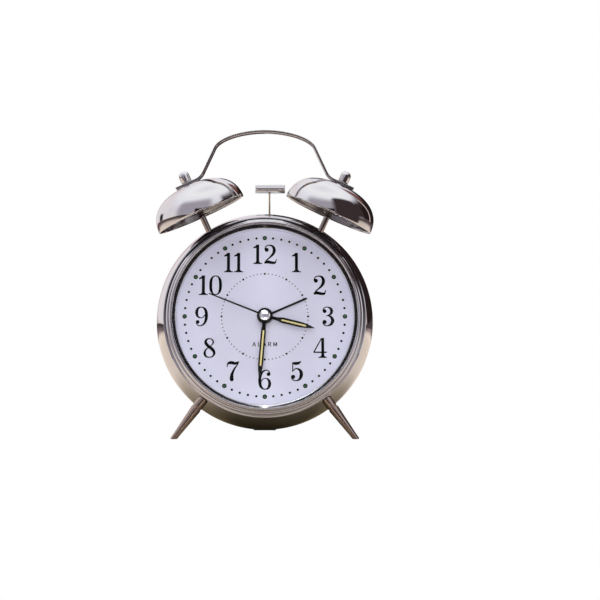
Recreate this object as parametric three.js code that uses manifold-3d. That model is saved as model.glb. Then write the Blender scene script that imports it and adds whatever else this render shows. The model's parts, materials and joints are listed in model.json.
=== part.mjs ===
// Twin-bell quartz alarm clock, in millimetres, +Z up.
//
// The clock is drawn upright about its hand axis: x to the right of the dial, y from the
// dial towards the back, z up the dial. One group then leans the whole clock back on its
// two front legs and the heel of its rear cover, and stands it on z = 0.

import * as THREE from "three";
import { mergeVertices } from "three/addons/utils/BufferGeometryUtils.js";
import Module from "manifold-3d";

const wasm = await Module();
wasm.setup();

// ---------------------------------------------------------------- driving dimensions

const LEAN = THREE.MathUtils.degToRad(10); // how far the dial leans back
const AXIS_HEIGHT = 59.6; // hand axis above the table, plumb, where y = 0
const GAP = 0.3; // air left between pieces that touch on the real clock

const CASE_RADIUS = 57.5; // widest ring of the barrel
const CASE_WALL = 0.8;
const BARREL_ARC = 43.75; // radius of the barrel's bulge, seen in section
const BARREL_MIDDLE = 4; // depth of the widest ring
const BARREL_FRONT = -16.5;
const BARREL_BACK = 19;
const SHOULDER_BEAD = 2.1; // rounded bead between bezel and barrel
const BEZEL_RADIUS = 49.27;
const BEZEL_FRONT = -22;
const LENS_RADIUS = 48.3;
const LENS_BACK = -18.8;
const DIAL_FACE = -13.9;
const DIAL_RADIUS = 48.2;
const DIAL_SIGHT = 45.6; // radius of the dial that shows inside the reflector ring

const BELL_ANGLE = THREE.MathUtils.degToRad(24.5); // bell axis from upright
const POST_TILT = LEAN; // posts lean forward from the case, so that the bells stand upright
const POST_BASE = { x: 29.2, y: -12, z: 45.3, tilt: POST_TILT }; // where a bell axis meets the barrel
const BELL_RADIUS = 24.35;
const BELL_DEPTH = 17;
const BELL_WALL = 0.9;
const BELL_TOP = 26.9; // bell's crown, measured along its axis from POST_BASE
const POST_RADIUS = 1.6;
const STUD_RADIUS = 1.2;
const STRAP_THICKNESS = 1.1;
const STRAP_WIDTH = 8;
const HANDLE_TOP = 98; // middle of the strap at the top of its arch

const LEG_ANGLE = THREE.MathUtils.degToRad(36.5); // legs from the downward vertical
const LEG_DEPTH = -13.5;
const LEG_END = 79; // legs are cut level with the table inside this radius
const LEG_RADIUS = 2.7;
const LEG_TIP_RADIUS = 1.5;

const COVER_RADIUS = 54.2;
const COVER_FRONT = 19.9;
const COVER_BACK = 21.9;
const SCREW_RING = 46; // radius of the two cover screws
const SCREW_ANGLES = [65, 295]; // clockwise from 12, in degrees

const MODULE_HALF = 28; // half the side of the square movement
const MODULE_FRONT = -12.2;
const MODULE_BACK = 3.5;
const WHEEL = 0.6; // thickness of a gear wheel
const ARBOR = 0.45;

const BATTERY = { radius: 7.1, length: 47.2, y: 12.6, z: -30.5 };
const BAY = { x: 29.3, z0: -39, z1: -22, front: 5.4, wall: 1.2 };

const SWITCH = { x: -14, z: 34 };

const HAMMER_PIVOT = { x: 2.5, z: 31 };
const HAMMER_DEPTH = -12;
const HAMMER_HEAD_Z = 68.5;
const MOTOR = { x: -12, z: 36.8, radius: 6.5 };
const CRANK_THROW = 1.4;

// Wheel planes from front to back, and the arbors as seen from the dial.
const PLANE = { alarm: -10.8, hour: -9.6, motion: -8.2, minute: -3.6, third: -1.4, second: 0.2, step: 1.2 };
const ARBORS = {
  centre: polar(0, 0),
  third: polar(9.0, 300),
  motion: polar(9.6, 150),
  alarm: polar(10.0, 60),
  step: polar(9.6, 210),
};
ARBORS.timeSet = { x: ARBORS.motion.x + 10.43, z: ARBORS.motion.z - 2.8 };
ARBORS.rotor = { x: ARBORS.step.x - 7.86, z: ARBORS.step.z - 1.39 };

// Hands, clockwise from 12 in degrees: the clock stands at about half past three.
const HAND_ANGLE = { hour: 103.7, minute: 184.95, second: 291.7, alarm: 66.6 };
const HAND_PLANE = { alarm: -14.6, hour: -15.6, minute: -16.8, second: -18.0 };

// ------------------------------------------------------------------------- materials

const MATERIALS = {
  chrome: { color: 0xd9dade, metalness: 1, roughness: 0.08 },
  darkSteel: { color: 0x8d8f94, metalness: 1, roughness: 0.3 },
  brass: { color: 0xc9a75a, metalness: 1, roughness: 0.3 },
  copper: { color: 0xa4532c, metalness: 0.8, roughness: 0.4 },
  glass: { color: 0xf4f8fb, metalness: 0, roughness: 0.05, transparent: true, opacity: 0.25 },
  dialWhite: { color: 0xe4e5f2, metalness: 0, roughness: 0.5 },
  blackPaint: { color: 0x101012, metalness: 0, roughness: 0.4 },
  blackPlastic: { color: 0x1a1a1c, metalness: 0, roughness: 0.55 },
  whitePlastic: { color: 0xe8e6df, metalness: 0, roughness: 0.5 },
  board: { color: 0x9a7a3c, metalness: 0, roughness: 0.6 },
  batteryWrap: { color: 0x2c6b46, metalness: 0.2, roughness: 0.4 },
};

// --------------------------------------------------------------------------- helpers

function polar(radius, clockAngle) {
  const angle = THREE.MathUtils.degToRad(clockAngle);
  return { x: radius * Math.sin(angle), z: radius * Math.cos(angle) };
}

// A manifold solid from a closed three.js geometry: shared vertices are merged, triangles
// that collapsed at a pole are dropped, and an inside-out solid is turned round.
function solid(geometry) {
  geometry.deleteAttribute("normal");
  geometry.deleteAttribute("uv");
  const merged = mergeVertices(geometry, 1e-4);
  const index = merged.index.array;
  const vertProperties = Float32Array.from(merged.attributes.position.array);
  const corner = (i) => new THREE.Vector3().fromArray(vertProperties, 3 * i);
  const triVerts = [];
  let volume = 0;
  for (let i = 0; i < index.length; i += 3) {
    const [a, b, c] = [index[i], index[i + 1], index[i + 2]];
    if (a === b || b === c || c === a) continue;
    triVerts.push(a, b, c);
    volume += corner(a).dot(corner(b).cross(corner(c)));
  }
  if (volume < 0) triVerts.reverse();
  const mesh = new wasm.Mesh({ numProp: 3, vertProperties, triVerts: Uint32Array.from(triVerts) });
  return new wasm.Manifold(mesh);
}

function join(first, ...others) {
  return others.reduce((whole, piece) => whole.add(piece), first);
}

function cut(whole, ...tools) {
  return tools.reduce((rest, tool) => rest.subtract(tool), whole);
}

function node(name, shape, material) {
  const { vertProperties, triVerts } = shape.getMesh();
  const geometry = new THREE.BufferGeometry();
  geometry.setAttribute("position", new THREE.BufferAttribute(Float32Array.from(vertProperties), 3));
  geometry.setIndex(new THREE.BufferAttribute(Uint32Array.from(triVerts), 1));
  geometry.computeVertexNormals();
  const mesh = new THREE.Mesh(geometry, new THREE.MeshStandardMaterial(MATERIALS[material]));
  mesh.name = name;
  return mesh;
}

function block(x0, x1, y0, y1, z0, z1) {
  const geometry = new THREE.BoxGeometry(x1 - x0, y1 - y0, z1 - z0);
  geometry.translate((x0 + x1) / 2, (y0 + y1) / 2, (z0 + z1) / 2);
  return solid(geometry);
}

// A rod parallel to the hand axis, from depth y0 to y1.
function rod(radius, y0, y1, at = ARBORS.centre, sides = 20) {
  const geometry = new THREE.CylinderGeometry(radius, radius, y1 - y0, sides);
  geometry.translate(at.x, (y0 + y1) / 2, at.z);
  return solid(geometry);
}

// A closed profile of [radius, depth] points turned about the hand axis.
function turned(profile, segments = 40) {
  const points = profile.map(([radius, depth]) => new THREE.Vector2(radius, depth));
  return solid(new THREE.LatheGeometry(points, segments));
}

function polygon(corners) {
  return new THREE.Shape(corners.map(([x, z]) => new THREE.Vector2(x, z)));
}

// An outline in the dial's plane, extruded from depth y0 to y1.
function plate(shape, y0, y1, at = ARBORS.centre, curveSegments = 8) {
  const geometry = new THREE.ExtrudeGeometry(shape, { depth: y1 - y0, bevelEnabled: false, curveSegments });
  geometry.rotateX(Math.PI / 2);
  geometry.translate(at.x, y1, at.z);
  return solid(geometry);
}

// Moves geometry drawn along +Y onto an axis in the dial's plane, tilted forward where the base says so.
function onAxis(geometry, base, angle) {
  const direction = new THREE.Vector3(Math.sin(angle), 0, Math.cos(angle));
  const turn = new THREE.Quaternion().setFromUnitVectors(new THREE.Vector3(0, 1, 0), direction);
  geometry.applyQuaternion(turn);
  geometry.rotateX(base.tilt ?? 0);
  geometry.translate(base.x, base.y, base.z);
  return geometry;
}

function turnedOnAxis(profile, base, angle, segments = 24) {
  const points = profile.map(([radius, along]) => new THREE.Vector2(radius, along));
  return solid(onAxis(new THREE.LatheGeometry(points, segments), base, angle));
}

function pegOnAxis(radius, u0, u1, base, angle, sides = 20) {
  return turnedOnAxis([[0, u0], [radius, u0], [radius, u1], [0, u1]], base, angle, sides);
}

function underTable() {
  const geometry = new THREE.BoxGeometry(300, 300, 40);
  geometry.translate(0, 0, -AXIS_HEIGHT - 20);
  geometry.rotateX(LEAN);
  return solid(geometry);
}

// ------------------------------------------------------------------ case and its front

function barrelRadius(depth) {
  const reach = depth - BARREL_MIDDLE;
  return CASE_RADIUS - BARREL_ARC + Math.sqrt(BARREL_ARC ** 2 - reach ** 2);
}

function barrelPoints(from, to, steps, inset) {
  return Array.from({ length: steps + 1 }, (_, i) => {
    const depth = from + ((to - from) * i) / steps;
    return [barrelRadius(depth) - inset, depth];
  });
}

function beadPoints(radius, foot, depth, steps = 3) {
  return Array.from({ length: steps + 1 }, (_, i) => {
    const angle = (Math.PI / 2) * (i / steps);
    return [foot + radius * Math.sin(angle), depth - radius * Math.cos(angle)];
  });
}

function caseShell() {
  const beadFoot = BEZEL_RADIUS + 0.4;
  const beadDepth = BARREL_FRONT - 1.1;
  const shell = turned([
    ...beadPoints(SHOULDER_BEAD, beadFoot, beadDepth),
    [beadFoot + SHOULDER_BEAD - 0.1, BARREL_FRONT - 0.6],
    ...barrelPoints(BARREL_FRONT, BARREL_BACK, 7, 0),
    [barrelRadius(BARREL_BACK) - 0.6, BARREL_BACK + 0.6],
    [barrelRadius(BARREL_BACK) - 1.5, BARREL_BACK + 0.4],
    ...barrelPoints(BARREL_BACK - 0.4, BARREL_FRONT + 0.2, 5, CASE_WALL),
    ...beadPoints(SHOULDER_BEAD - CASE_WALL, beadFoot, beadDepth, 2).reverse(),
    [beadFoot, beadDepth - SHOULDER_BEAD],
  ]);
  const slot = block(-4.4, 4.4, HAMMER_DEPTH - 1.4, HAMMER_DEPTH + 1.4, 48, 62);
  const postHoles = [-1, 1].map((side) =>
    pegOnAxis(POST_RADIUS + GAP, -6, 8, sideways(POST_BASE, side), side * BELL_ANGLE),
  );
  const legHoles = [-1, 1].map((side) => pegOnAxis(STUD_RADIUS + GAP, 47, 60, legBase(), legAngle(side), 16));
  return node("case_shell", cut(shell, slot, ...postHoles, ...legHoles), "chrome");
}

function bezelRing() {
  const ring = turned([
    [BEZEL_RADIUS, -15.2],
    [BEZEL_RADIUS, BEZEL_FRONT + 1.1],
    [BEZEL_RADIUS - 0.3, BEZEL_FRONT + 0.4],
    [BEZEL_RADIUS - 0.8, BEZEL_FRONT],
    [BEZEL_RADIUS - 1.3, BEZEL_FRONT + 0.1],
    [BEZEL_RADIUS - 1.6, BEZEL_FRONT + 0.6],
    [BEZEL_RADIUS - 1.6, BEZEL_FRONT + 1.4],
    [LENS_RADIUS + GAP, BEZEL_FRONT + 1.5],
    [LENS_RADIUS + GAP, -15.2],
    [BEZEL_RADIUS, -15.2],
  ]);
  return node("bezel_ring", ring, "chrome");
}

function lens() {
  return node("lens", rod(LENS_RADIUS, LENS_BACK - 1.4, LENS_BACK, ARBORS.centre, 40), "glass");
}

function reflectorRing() {
  const back = DIAL_FACE - GAP;
  const ring = turned([
    [LENS_RADIUS, LENS_BACK + GAP],
    [LENS_RADIUS, back],
    [DIAL_SIGHT, back],
    [DIAL_SIGHT, back - 0.5],
    [LENS_RADIUS - 0.7, LENS_BACK + GAP],
    [LENS_RADIUS, LENS_BACK + GAP],
  ]);
  return node("reflector_ring", ring, "chrome");
}

function dialPlate() {
  const disc = rod(DIAL_RADIUS, DIAL_FACE, DIAL_FACE + 0.6, ARBORS.centre, 40);
  return node("dial_plate", cut(disc, rod(4.1, DIAL_FACE - 1, DIAL_FACE + 2)), "dialWhite");
}

// The plastic ring behind the dial, with the two posts that the cover screws into.
function innerFrame() {
  const front = DIAL_FACE + 0.9;
  const ring = turned([[44, front], [47.9, front], [47.9, front + 2], [44, front + 2], [44, front]]);
  const hammerGap = block(-8, 8, front - 1, front + 3, 40, 50);
  const posts = SCREW_ANGLES.map((angle) =>
    rod(3, front + 0.5, COVER_FRONT - GAP, polar(SCREW_RING, angle), 16));
  const bores = SCREW_ANGLES.map((angle) => rod(1.5, 10, COVER_FRONT, polar(SCREW_RING, angle), 12));
  return node("inner_frame", cut(join(cut(ring, hammerGap), ...posts), ...bores), "whitePlastic");
}

// --------------------------------------------------------------------- legs and heel

function legBase() {
  return { x: 0, y: LEG_DEPTH, z: 0 };
}

function legAngle(side) {
  return side * (Math.PI - LEG_ANGLE);
}

function barrelWithGap() {
  return turned([
    [0, -22],
    [BEZEL_RADIUS + 1, -22],
    [BEZEL_RADIUS + 0.4 + SHOULDER_BEAD + GAP, BARREL_FRONT - 1.5],
    ...barrelPoints(BARREL_FRONT, 0, 6, -GAP),
    [0, 0],
  ]);
}

function leg(name, side) {
  const taperStart = 59;
  const body = turnedOnAxis([
    [0, 48.4],
    [STUD_RADIUS, 48.4],
    [STUD_RADIUS, 50],
    [LEG_RADIUS, 50],
    [LEG_RADIUS, taperStart - 1],
    [LEG_RADIUS - 0.35, taperStart - 0.7],
    [LEG_RADIUS - 0.35, taperStart - 0.2],
    [LEG_RADIUS - 0.05, taperStart + 0.1],
    [LEG_TIP_RADIUS + 0.15, LEG_END - 4],
    [LEG_TIP_RADIUS, LEG_END],
    [0, LEG_END],
  ], legBase(), legAngle(side));
  const stud = pegOnAxis(STUD_RADIUS, 48.4, 56, legBase(), legAngle(side), 12);
  return node(name, join(cut(body, barrelWithGap(), underTable()), stud), "chrome");
}

function legNut(name, side) {
  const nut = pegOnAxis(2.9, 49.9, 51.2, legBase(), legAngle(side), 6);
  const bore = pegOnAxis(STUD_RADIUS + GAP, 49, 52, legBase(), legAngle(side), 12);
  return node(name, cut(nut, bore), "darkSteel");
}

// -------------------------------------------------------------- bells, posts, handle

function sideways(point, side) {
  return { ...point, x: side * point.x };
}

// Bell wall from rim to crown: an upright rim that rolls over into a domed crown.
function bellCurve(radius, depth, steps) {
  const fullness = 2.4;
  return Array.from({ length: steps + 1 }, (_, i) => {
    const angle = (Math.PI / 2) * (i / steps);
    return [radius * Math.cos(angle) ** (2 / fullness), depth * Math.sin(angle) ** (2 / fullness)];
  });
}

function bell(name, side) {
  const rim = BELL_TOP - BELL_DEPTH;
  const outer = bellCurve(BELL_RADIUS, BELL_DEPTH, 7).map(([r, u]) => [r, rim + u]);
  const inner = bellCurve(BELL_RADIUS - BELL_WALL, BELL_DEPTH - BELL_WALL, 6).map(([r, u]) => [r, rim + u]);
  outer[outer.length - 1][0] = 0;
  inner[inner.length - 1][0] = 0;
  const base = sideways(POST_BASE, side);
  const shell = turnedOnAxis([...inner.reverse(), ...outer], base, side * BELL_ANGLE, 30);
  const hole = pegOnAxis(STUD_RADIUS + GAP, rim, BELL_TOP + 2, base, side * BELL_ANGLE, 16);
  return node(name, cut(shell, hole), "chrome");
}

function post(name, side) {
  const shoulder = BELL_TOP - BELL_WALL - 0.9 - 2 * GAP;
  const pin = turnedOnAxis([
    [0, -4.4],
    [POST_RADIUS, -4.4],
    [POST_RADIUS, shoulder],
    [STUD_RADIUS, shoulder],
    [STUD_RADIUS, BELL_TOP + 4.5],
    [0, BELL_TOP + 4.5],
  ], sideways(POST_BASE, side), side * BELL_ANGLE, 16);
  return node(name, pin, "chrome");
}

function ringOnPost(name, side, outer, inner, u0, u1, sides, material) {
  const base = sideways(POST_BASE, side);
  const disc = pegOnAxis(outer, u0, u1, base, side * BELL_ANGLE, sides);
  const bore = pegOnAxis(inner, u0 - 1, u1 + 1, base, side * BELL_ANGLE, 16);
  return node(name, cut(disc, bore), material);
}

function capNut(name, side) {
  const foot = BELL_TOP + STRAP_THICKNESS + 2 * GAP;
  const profile = [
    [0, foot], [2.6, foot], [2.8, foot + 0.3], [2.8, foot + 4], [2.5, foot + 5], [1.5, foot + 5.8], [0, foot + 6],
  ];
  const base = sideways(POST_BASE, side);
  const bore = pegOnAxis(STUD_RADIUS + GAP, foot - 1, BELL_TOP + 4.9, base, side * BELL_ANGLE, 12);
  return node(name, cut(turnedOnAxis(profile, base, side * BELL_ANGLE, 18), bore), "chrome");
}

// Middle line of the strap's right half: tab, bend, rise and arch, as a chain of points.
function handleHalf() {
  const lift = BELL_TOP + GAP + STRAP_THICKNESS / 2;
  const axis = new THREE.Vector2(Math.sin(BELL_ANGLE), Math.cos(BELL_ANGLE));
  const inward = new THREE.Vector2(-axis.y, axis.x);
  const seat = new THREE.Vector2(POST_BASE.x, POST_BASE.z).addScaledVector(axis, lift);
  const tab = seat.clone().addScaledVector(inward, -6.5);
  const bend = seat.clone().addScaledVector(inward, 7.9);
  const shoulder = new THREE.Vector2(26.2, 89.3);
  const rise = shoulder.clone().sub(bend).normalize();
  const path = new THREE.CurvePath();
  path.add(new THREE.LineCurve(tab, bend.clone().addScaledVector(inward, -3)));
  path.add(new THREE.QuadraticBezierCurve(path.curves[0].v2, bend, bend.clone().addScaledVector(rise, 3)));
  path.add(new THREE.LineCurve(path.curves[1].v2, shoulder));
  path.add(
    new THREE.CubicBezierCurve(
      shoulder,
      shoulder.clone().addScaledVector(rise, 5.5),
      new THREE.Vector2(12, HANDLE_TOP),
      new THREE.Vector2(0, HANDLE_TOP),
    ),
  );
  const pointsOf = (curve, i) => curve.getPoints(curve.isLineCurve ? 1 : 4 + 2 * i);
  return path.curves.flatMap((curve, i) => pointsOf(curve, i).slice(i ? 1 : 0));
}

function handleStrap() {
  const right = handleHalf();
  const left = right.slice(0, -1).map((p) => new THREE.Vector2(-p.x, p.y)).reverse();
  const middle = [...right, ...left];
  const edge = (side) =>
    middle.map((p, i) => {
      const before = middle[Math.max(i - 1, 0)];
      const after = middle[Math.min(i + 1, middle.length - 1)];
      const along = after.clone().sub(before).normalize();
      const reach = (side * STRAP_THICKNESS) / 2;
      return new THREE.Vector2(p.x - along.y * reach, p.y + along.x * reach);
    });
  const outline = new THREE.Shape([...edge(1), ...edge(-1).reverse()]);
  const strap = plate(outline, -STRAP_WIDTH / 2, STRAP_WIDTH / 2)
    .translate([0, 0, -POST_BASE.z])
    .rotate([THREE.MathUtils.radToDeg(POST_TILT), 0, 0])
    .translate([0, POST_BASE.y, POST_BASE.z]);
  const holes = [-1, 1].map((side) =>
    pegOnAxis(
      STUD_RADIUS + GAP, BELL_TOP - 1, BELL_TOP + 4, sideways(POST_BASE, side), side * BELL_ANGLE, 12),
  );
  return node("handle_strap", cut(strap, ...holes), "chrome");
}

function bellSet() {
  const shoulder = BELL_TOP - BELL_WALL - GAP;
  return [["left", -1], ["right", 1]].flatMap(([hand, side]) => [
    leg(`${hand}_leg`, side),
    legNut(`${hand}_leg_nut`, side),
    post(`${hand}_bell_post`, side),
    ringOnPost(`${hand}_post_nut`, side, 2.9, POST_RADIUS + GAP, -3.7, -2.2, 6, "darkSteel"),
    ringOnPost(
      `${hand}_bell_washer`, side, 3.4, STUD_RADIUS + GAP, shoulder - 0.9, shoulder, 20, "darkSteel"),
    bell(`${hand}_bell`, side),
    capNut(`${hand}_cap_nut`, side),
  ]);
}

// ---------------------------------------------------------------- rear cover and bay

function rearCover() {
  const disc = rod(COVER_RADIUS, COVER_FRONT, COVER_BACK, ARBORS.centre, 40);
  const skirtBack = COVER_FRONT + 0.5;
  const skirt = turned([[51.4, 14], [52.6, 14], [52.6, skirtBack], [51.4, skirtBack], [51.4, 14]]);
  const { x, z0, z1, front, wall } = BAY;
  const tub = block(-x - wall, x + wall, front - wall, COVER_FRONT + 0.5, z0 - wall, z1 + wall);
  const heel = cut(block(-6, 6, COVER_FRONT + 0.1, COVER_BACK + 2.4, -60, -47), underTable());
  const tools = [
    block(-x, x, front, COVER_BACK + 1, z0, z1),
    rod(2.4, 15, 25, ARBORS.timeSet),
    rod(2.4, 15, 25, ARBORS.alarm),
    block(SWITCH.x - 5.5, SWITCH.x + 5.5, 15, 25, SWITCH.z - 1.6, SWITCH.z + 1.6),
    ...SCREW_ANGLES.map((angle) => rod(1.6, 15, 25, polar(SCREW_RING, angle), 12)),
  ];
  return node("rear_cover", cut(join(disc, skirt, tub, heel), ...tools), "blackPlastic");
}



function batteryDoor() {
  const { x, z0, z1 } = BAY;
  const panel = block(-x + GAP, x - GAP, COVER_BACK - 1.6, COVER_BACK, z0 + GAP, z1 - GAP);
  const ribs = [-3, 0, 3].map((step) =>
    block(-5, 5, COVER_BACK - 0.5, COVER_BACK + 0.5, z1 - 4.2 + step * 0.7, z1 - 3.4 + step * 0.7),
  );
  return node("battery_door", join(panel, ...ribs), "blackPlastic");
}

function alongX(profile, y, z, segments = 20) {
  const points = profile.map(([radius, along]) => new THREE.Vector2(radius, along));
  const geometry = new THREE.LatheGeometry(points, segments);
  geometry.rotateZ(-Math.PI / 2);
  geometry.translate(0, y, z);
  return solid(geometry);
}

function battery() {
  const { radius, length, y, z } = BATTERY;
  const start = -24.4;
  const end = start + length;
  const cell = alongX([
    [0, start],
    [radius - 0.4, start],
    [radius, start + 0.4],
    [radius, end - 0.6],
    [radius - 0.6, end],
    [2.7, end],
    [2.7, end + 1.3],
    [0, end + 1.3],
  ], y, z);
  return node("battery", cell, "batteryWrap");
}

function positiveContact() {
  const { y, z } = BATTERY;
  return node("positive_contact", block(24.6, 25.0, y - 4, y + 4, z - 4, z + 4), "darkSteel");
}

function negativeContact() {
  const { y, z } = BATTERY;
  return node("negative_contact", block(-29.0, -28.6, y - 5, y + 5, z - 5, z + 5), "darkSteel");
}

class TaperedHelix extends THREE.Curve {
  getPoint(t, target = new THREE.Vector3()) {
    const turns = 3;
    const angle = 2 * Math.PI * turns * t;
    const radius = 4 - 1.4 * t;
    const { y, z } = BATTERY;
    return target.set(-28 + 3.1 * t, y + radius * Math.cos(angle), z + radius * Math.sin(angle));
  }
}

function batterySpring() {
  const wire = new THREE.Shape(new THREE.Path().absarc(0, 0, 0.28, 0, 2 * Math.PI).getPoints(6).slice(0, 6));
  const options = { extrudePath: new TaperedHelix(), steps: 42, bevelEnabled: false };
  const geometry = new THREE.ExtrudeGeometry(wire, options);
  return node("battery_spring", solid(geometry), "darkSteel");
}

function coverScrew(name, angle) {
  const at = polar(SCREW_RING, angle);
  const head = rod(2.8, COVER_BACK + GAP, COVER_BACK + 1.8, at, 18);
  const thread = rod(1.15, 12, COVER_BACK + 1, at, 12);
  const driveSlot = (half, length) =>
    block(at.x - half, at.x + half, COVER_BACK + 1, COVER_BACK + 3, at.z - length, at.z + length);
  return node(name, cut(join(head, thread), driveSlot(0.3, 1.7), driveSlot(1.7, 0.3)), "darkSteel");
}

function alarmSwitch() {
  const { x, z } = SWITCH;
  const stem = block(x - 3.2, x - 0.4, COVER_FRONT - 2, COVER_BACK + 1, z - 1.2, z + 1.2);
  const cap = block(x - 4.4, x + 0.8, COVER_BACK + GAP, COVER_BACK + 2.6, z - 2.6, z + 2.6);
  const keeper = block(x - 5, x + 1.4, COVER_FRONT - 2.2, COVER_FRONT - GAP, z - 2.8, z + 2.8);
  return node("alarm_switch", join(stem, cap, keeper), "whitePlastic");
}

function knob(name, at) {
  const ridges = 18;
  const corners = [];
  for (let i = 0; i < 2 * ridges; i += 1) {
    const angle = (Math.PI * i) / ridges;
    const radius = i % 2 ? 5.2 : 4.8;
    corners.push([radius * Math.cos(angle), radius * Math.sin(angle)]);
  }
  const grip = plate(polygon(corners), COVER_BACK + 1, COVER_BACK + 6.5, at);
  const bore = rod(1.3, COVER_BACK, COVER_BACK + 5, at, 12);
  return node(name, cut(grip, bore), "blackPlastic");
}

// -------------------------------------------------------------------------- movement

const MODULE_HOLES = [
  [ARBORS.third, 0.8], [ARBORS.step, 0.8], [ARBORS.motion, 0.8],
];

function movementFront() {
  const wall = block(-MODULE_HALF, MODULE_HALF, MODULE_FRONT, MODULE_FRONT + 1, -MODULE_HALF, MODULE_HALF);
  const neck = rod(3.7, DIAL_FACE - 0.3, MODULE_FRONT + 0.5, ARBORS.centre, 24);
  const small = MODULE_HOLES.map(([at, r]) => rod(r, -13, -10, at, 12));
  const holes = [rod(3.35, -16, -10, ARBORS.centre, 24), ...small];
  return node("movement_front", cut(join(wall, neck), ...holes), "whitePlastic");
}

function movementRear() {
  const wall = 1.2;
  const front = MODULE_FRONT + 1 + GAP;
  const half = MODULE_HALF - wall;
  const box = block(-MODULE_HALF, MODULE_HALF, front, MODULE_BACK, -MODULE_HALF, MODULE_HALF);
  const hollow = block(-half, half, front - 1, MODULE_BACK - wall, -half, half);
  const holes = MODULE_HOLES.map(([at, r]) => rod(r, 0, 5, at, 12));
  holes.push(rod(2.1, 0, 5, ARBORS.timeSet), rod(2.1, 0, 5, ARBORS.alarm));
  holes.push(rod(0.9, 0, 5, ARBORS.centre, 12), rod(0.8, 0, 5, ARBORS.rotor, 12));
  return node("movement_rear", cut(box, hollow, ...holes), "whitePlastic");
}

// Tooth outline of a gear. phase is the angle of one tooth, anticlockwise from +x.
function gearShape(teeth, module, phase) {
  const pitch = (module * teeth) / 2;
  const tip = pitch + 0.7 * module;
  const root = pitch - 1.1 * module;
  const step = (2 * Math.PI) / teeth;
  const corners = [];
  for (let i = 0; i < teeth; i += 1) {
    const middle = phase + i * step;
    for (const [radius, share] of [[root, -0.23], [tip, -0.09], [tip, 0.09], [root, 0.23]]) {
      const angle = middle + share * step;
      corners.push([radius * Math.cos(angle), radius * Math.sin(angle)]);
    }
  }
  return polygon(corners);
}

function gear(teeth, module, plane, at, phase, thickness = WHEEL) {
  return plate(gearShape(teeth, module, phase), plane, plane + thickness, at);
}

// Phase that lets a gear's tooth meet the space between two teeth of its mate.
function meshPhase(mate, at, teeth) {
  const bearing = Math.atan2(at.z - mate.at.z, at.x - mate.at.x);
  const mateShare = (bearing - mate.phase) / ((2 * Math.PI) / mate.teeth);
  return bearing + Math.PI - (0.5 - mateShare) * ((2 * Math.PI) / teeth);
}

function gearPair(driverAt, driverTeeth, mateAt, mateTeeth) {
  const distance = Math.hypot(mateAt.x - driverAt.x, mateAt.z - driverAt.z);
  const module = (2 * distance) / (driverTeeth + mateTeeth);
  const driver = { at: driverAt, teeth: driverTeeth, phase: 0 };
  const mate = { at: mateAt, teeth: mateTeeth, phase: meshPhase(driver, mateAt, mateTeeth) };
  return { module, driver, mate };
}

function secondWheel() {
  const { centre, third, step } = ARBORS;
  const toThird = gearPair(centre, 6, third, 45);
  const toStep = gearPair(centre, 30, step, 6);
  return node("second_wheel", join(
    rod(0.6, HAND_PLANE.second - 0.3, MODULE_BACK - 0.2, centre, 12),
    gear(6, toThird.module, PLANE.third - 0.2, centre, 0, WHEEL + 0.4),
    gear(30, toStep.module, PLANE.second, centre, 0),
  ), "brass");
}

function thirdWheel() {
  const { centre, third } = ARBORS;
  const fromSecond = gearPair(centre, 6, third, 45);
  const toMinute = gearPair(third, 6, centre, 48);
  return node("third_wheel", join(
    rod(ARBOR, MODULE_FRONT + 0.2, MODULE_BACK - 0.2, third, 12),
    gear(45, fromSecond.module, PLANE.third, third, fromSecond.mate.phase),
    gear(6, toMinute.module, PLANE.minute - 0.2, third, 0, WHEEL + 0.4),
  ), "brass");
}

function minuteWheel() {
  const { centre, third, motion } = ARBORS;
  const fromThird = gearPair(third, 6, centre, 48);
  const toMotion = gearPair(centre, 8, motion, 24);
  const body = join(
    rod(1.4, HAND_PLANE.minute - 0.2, PLANE.minute + WHEEL + 0.4, centre, 16),
    gear(48, fromThird.module, PLANE.minute, centre, fromThird.mate.phase),
    gear(8, toMotion.module, PLANE.motion - 0.2, centre, 0, WHEEL + 0.4),
  );
  return node("minute_wheel", cut(body, rod(0.9, -20, 0, centre, 16)), "brass");
}

function motionWheel() {
  const { centre, motion } = ARBORS;
  const fromMinute = gearPair(centre, 8, motion, 24);
  const toHour = gearPair(motion, 6, centre, 24);
  return node("motion_wheel", join(
    rod(0.6, MODULE_FRONT + 0.2, MODULE_BACK - 0.2, motion, 12),
    gear(24, fromMinute.module, PLANE.motion, motion, fromMinute.mate.phase),
    gear(6, toHour.module, PLANE.hour - 0.2, motion, 0, WHEEL + 0.4),
  ), "whitePlastic");
}

function hourWheel() {
  const { centre, motion } = ARBORS;
  const fromMotion = gearPair(motion, 6, centre, 24);
  const body = join(
    rod(2.2, HAND_PLANE.hour - 0.2, PLANE.hour + WHEEL, centre, 20),
    gear(24, fromMotion.module, PLANE.hour, centre, fromMotion.mate.phase),
  );
  return node("hour_wheel", cut(body, rod(1.7, -20, 0, centre, 20)), "whitePlastic");
}

function alarmWheel() {
  const { centre, alarm } = ARBORS;
  const fromShaft = gearPair(alarm, 8, centre, 32);
  const body = join(
    rod(3.0, HAND_PLANE.alarm - 0.2, PLANE.alarm + WHEEL, centre, 24),
    gear(32, fromShaft.module, PLANE.alarm, centre, fromShaft.mate.phase),
  );
  return node("alarm_wheel", cut(body, rod(2.5, -20, 0, centre, 24)), "whitePlastic");
}

function alarmSetShaft() {
  const { centre, alarm } = ARBORS;
  const { module } = gearPair(alarm, 8, centre, 32);
  const shaft = rod(1.6, PLANE.alarm + 0.2, COVER_BACK + 0.7, alarm, 16);
  const tip = rod(0.9, COVER_BACK, COVER_BACK + 4.5, alarm, 12);
  const pinion = gear(8, module, PLANE.alarm - 0.1, alarm, 0, 0.8);
  return node("alarm_set_shaft", join(shaft, tip, pinion), "whitePlastic");
}

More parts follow.
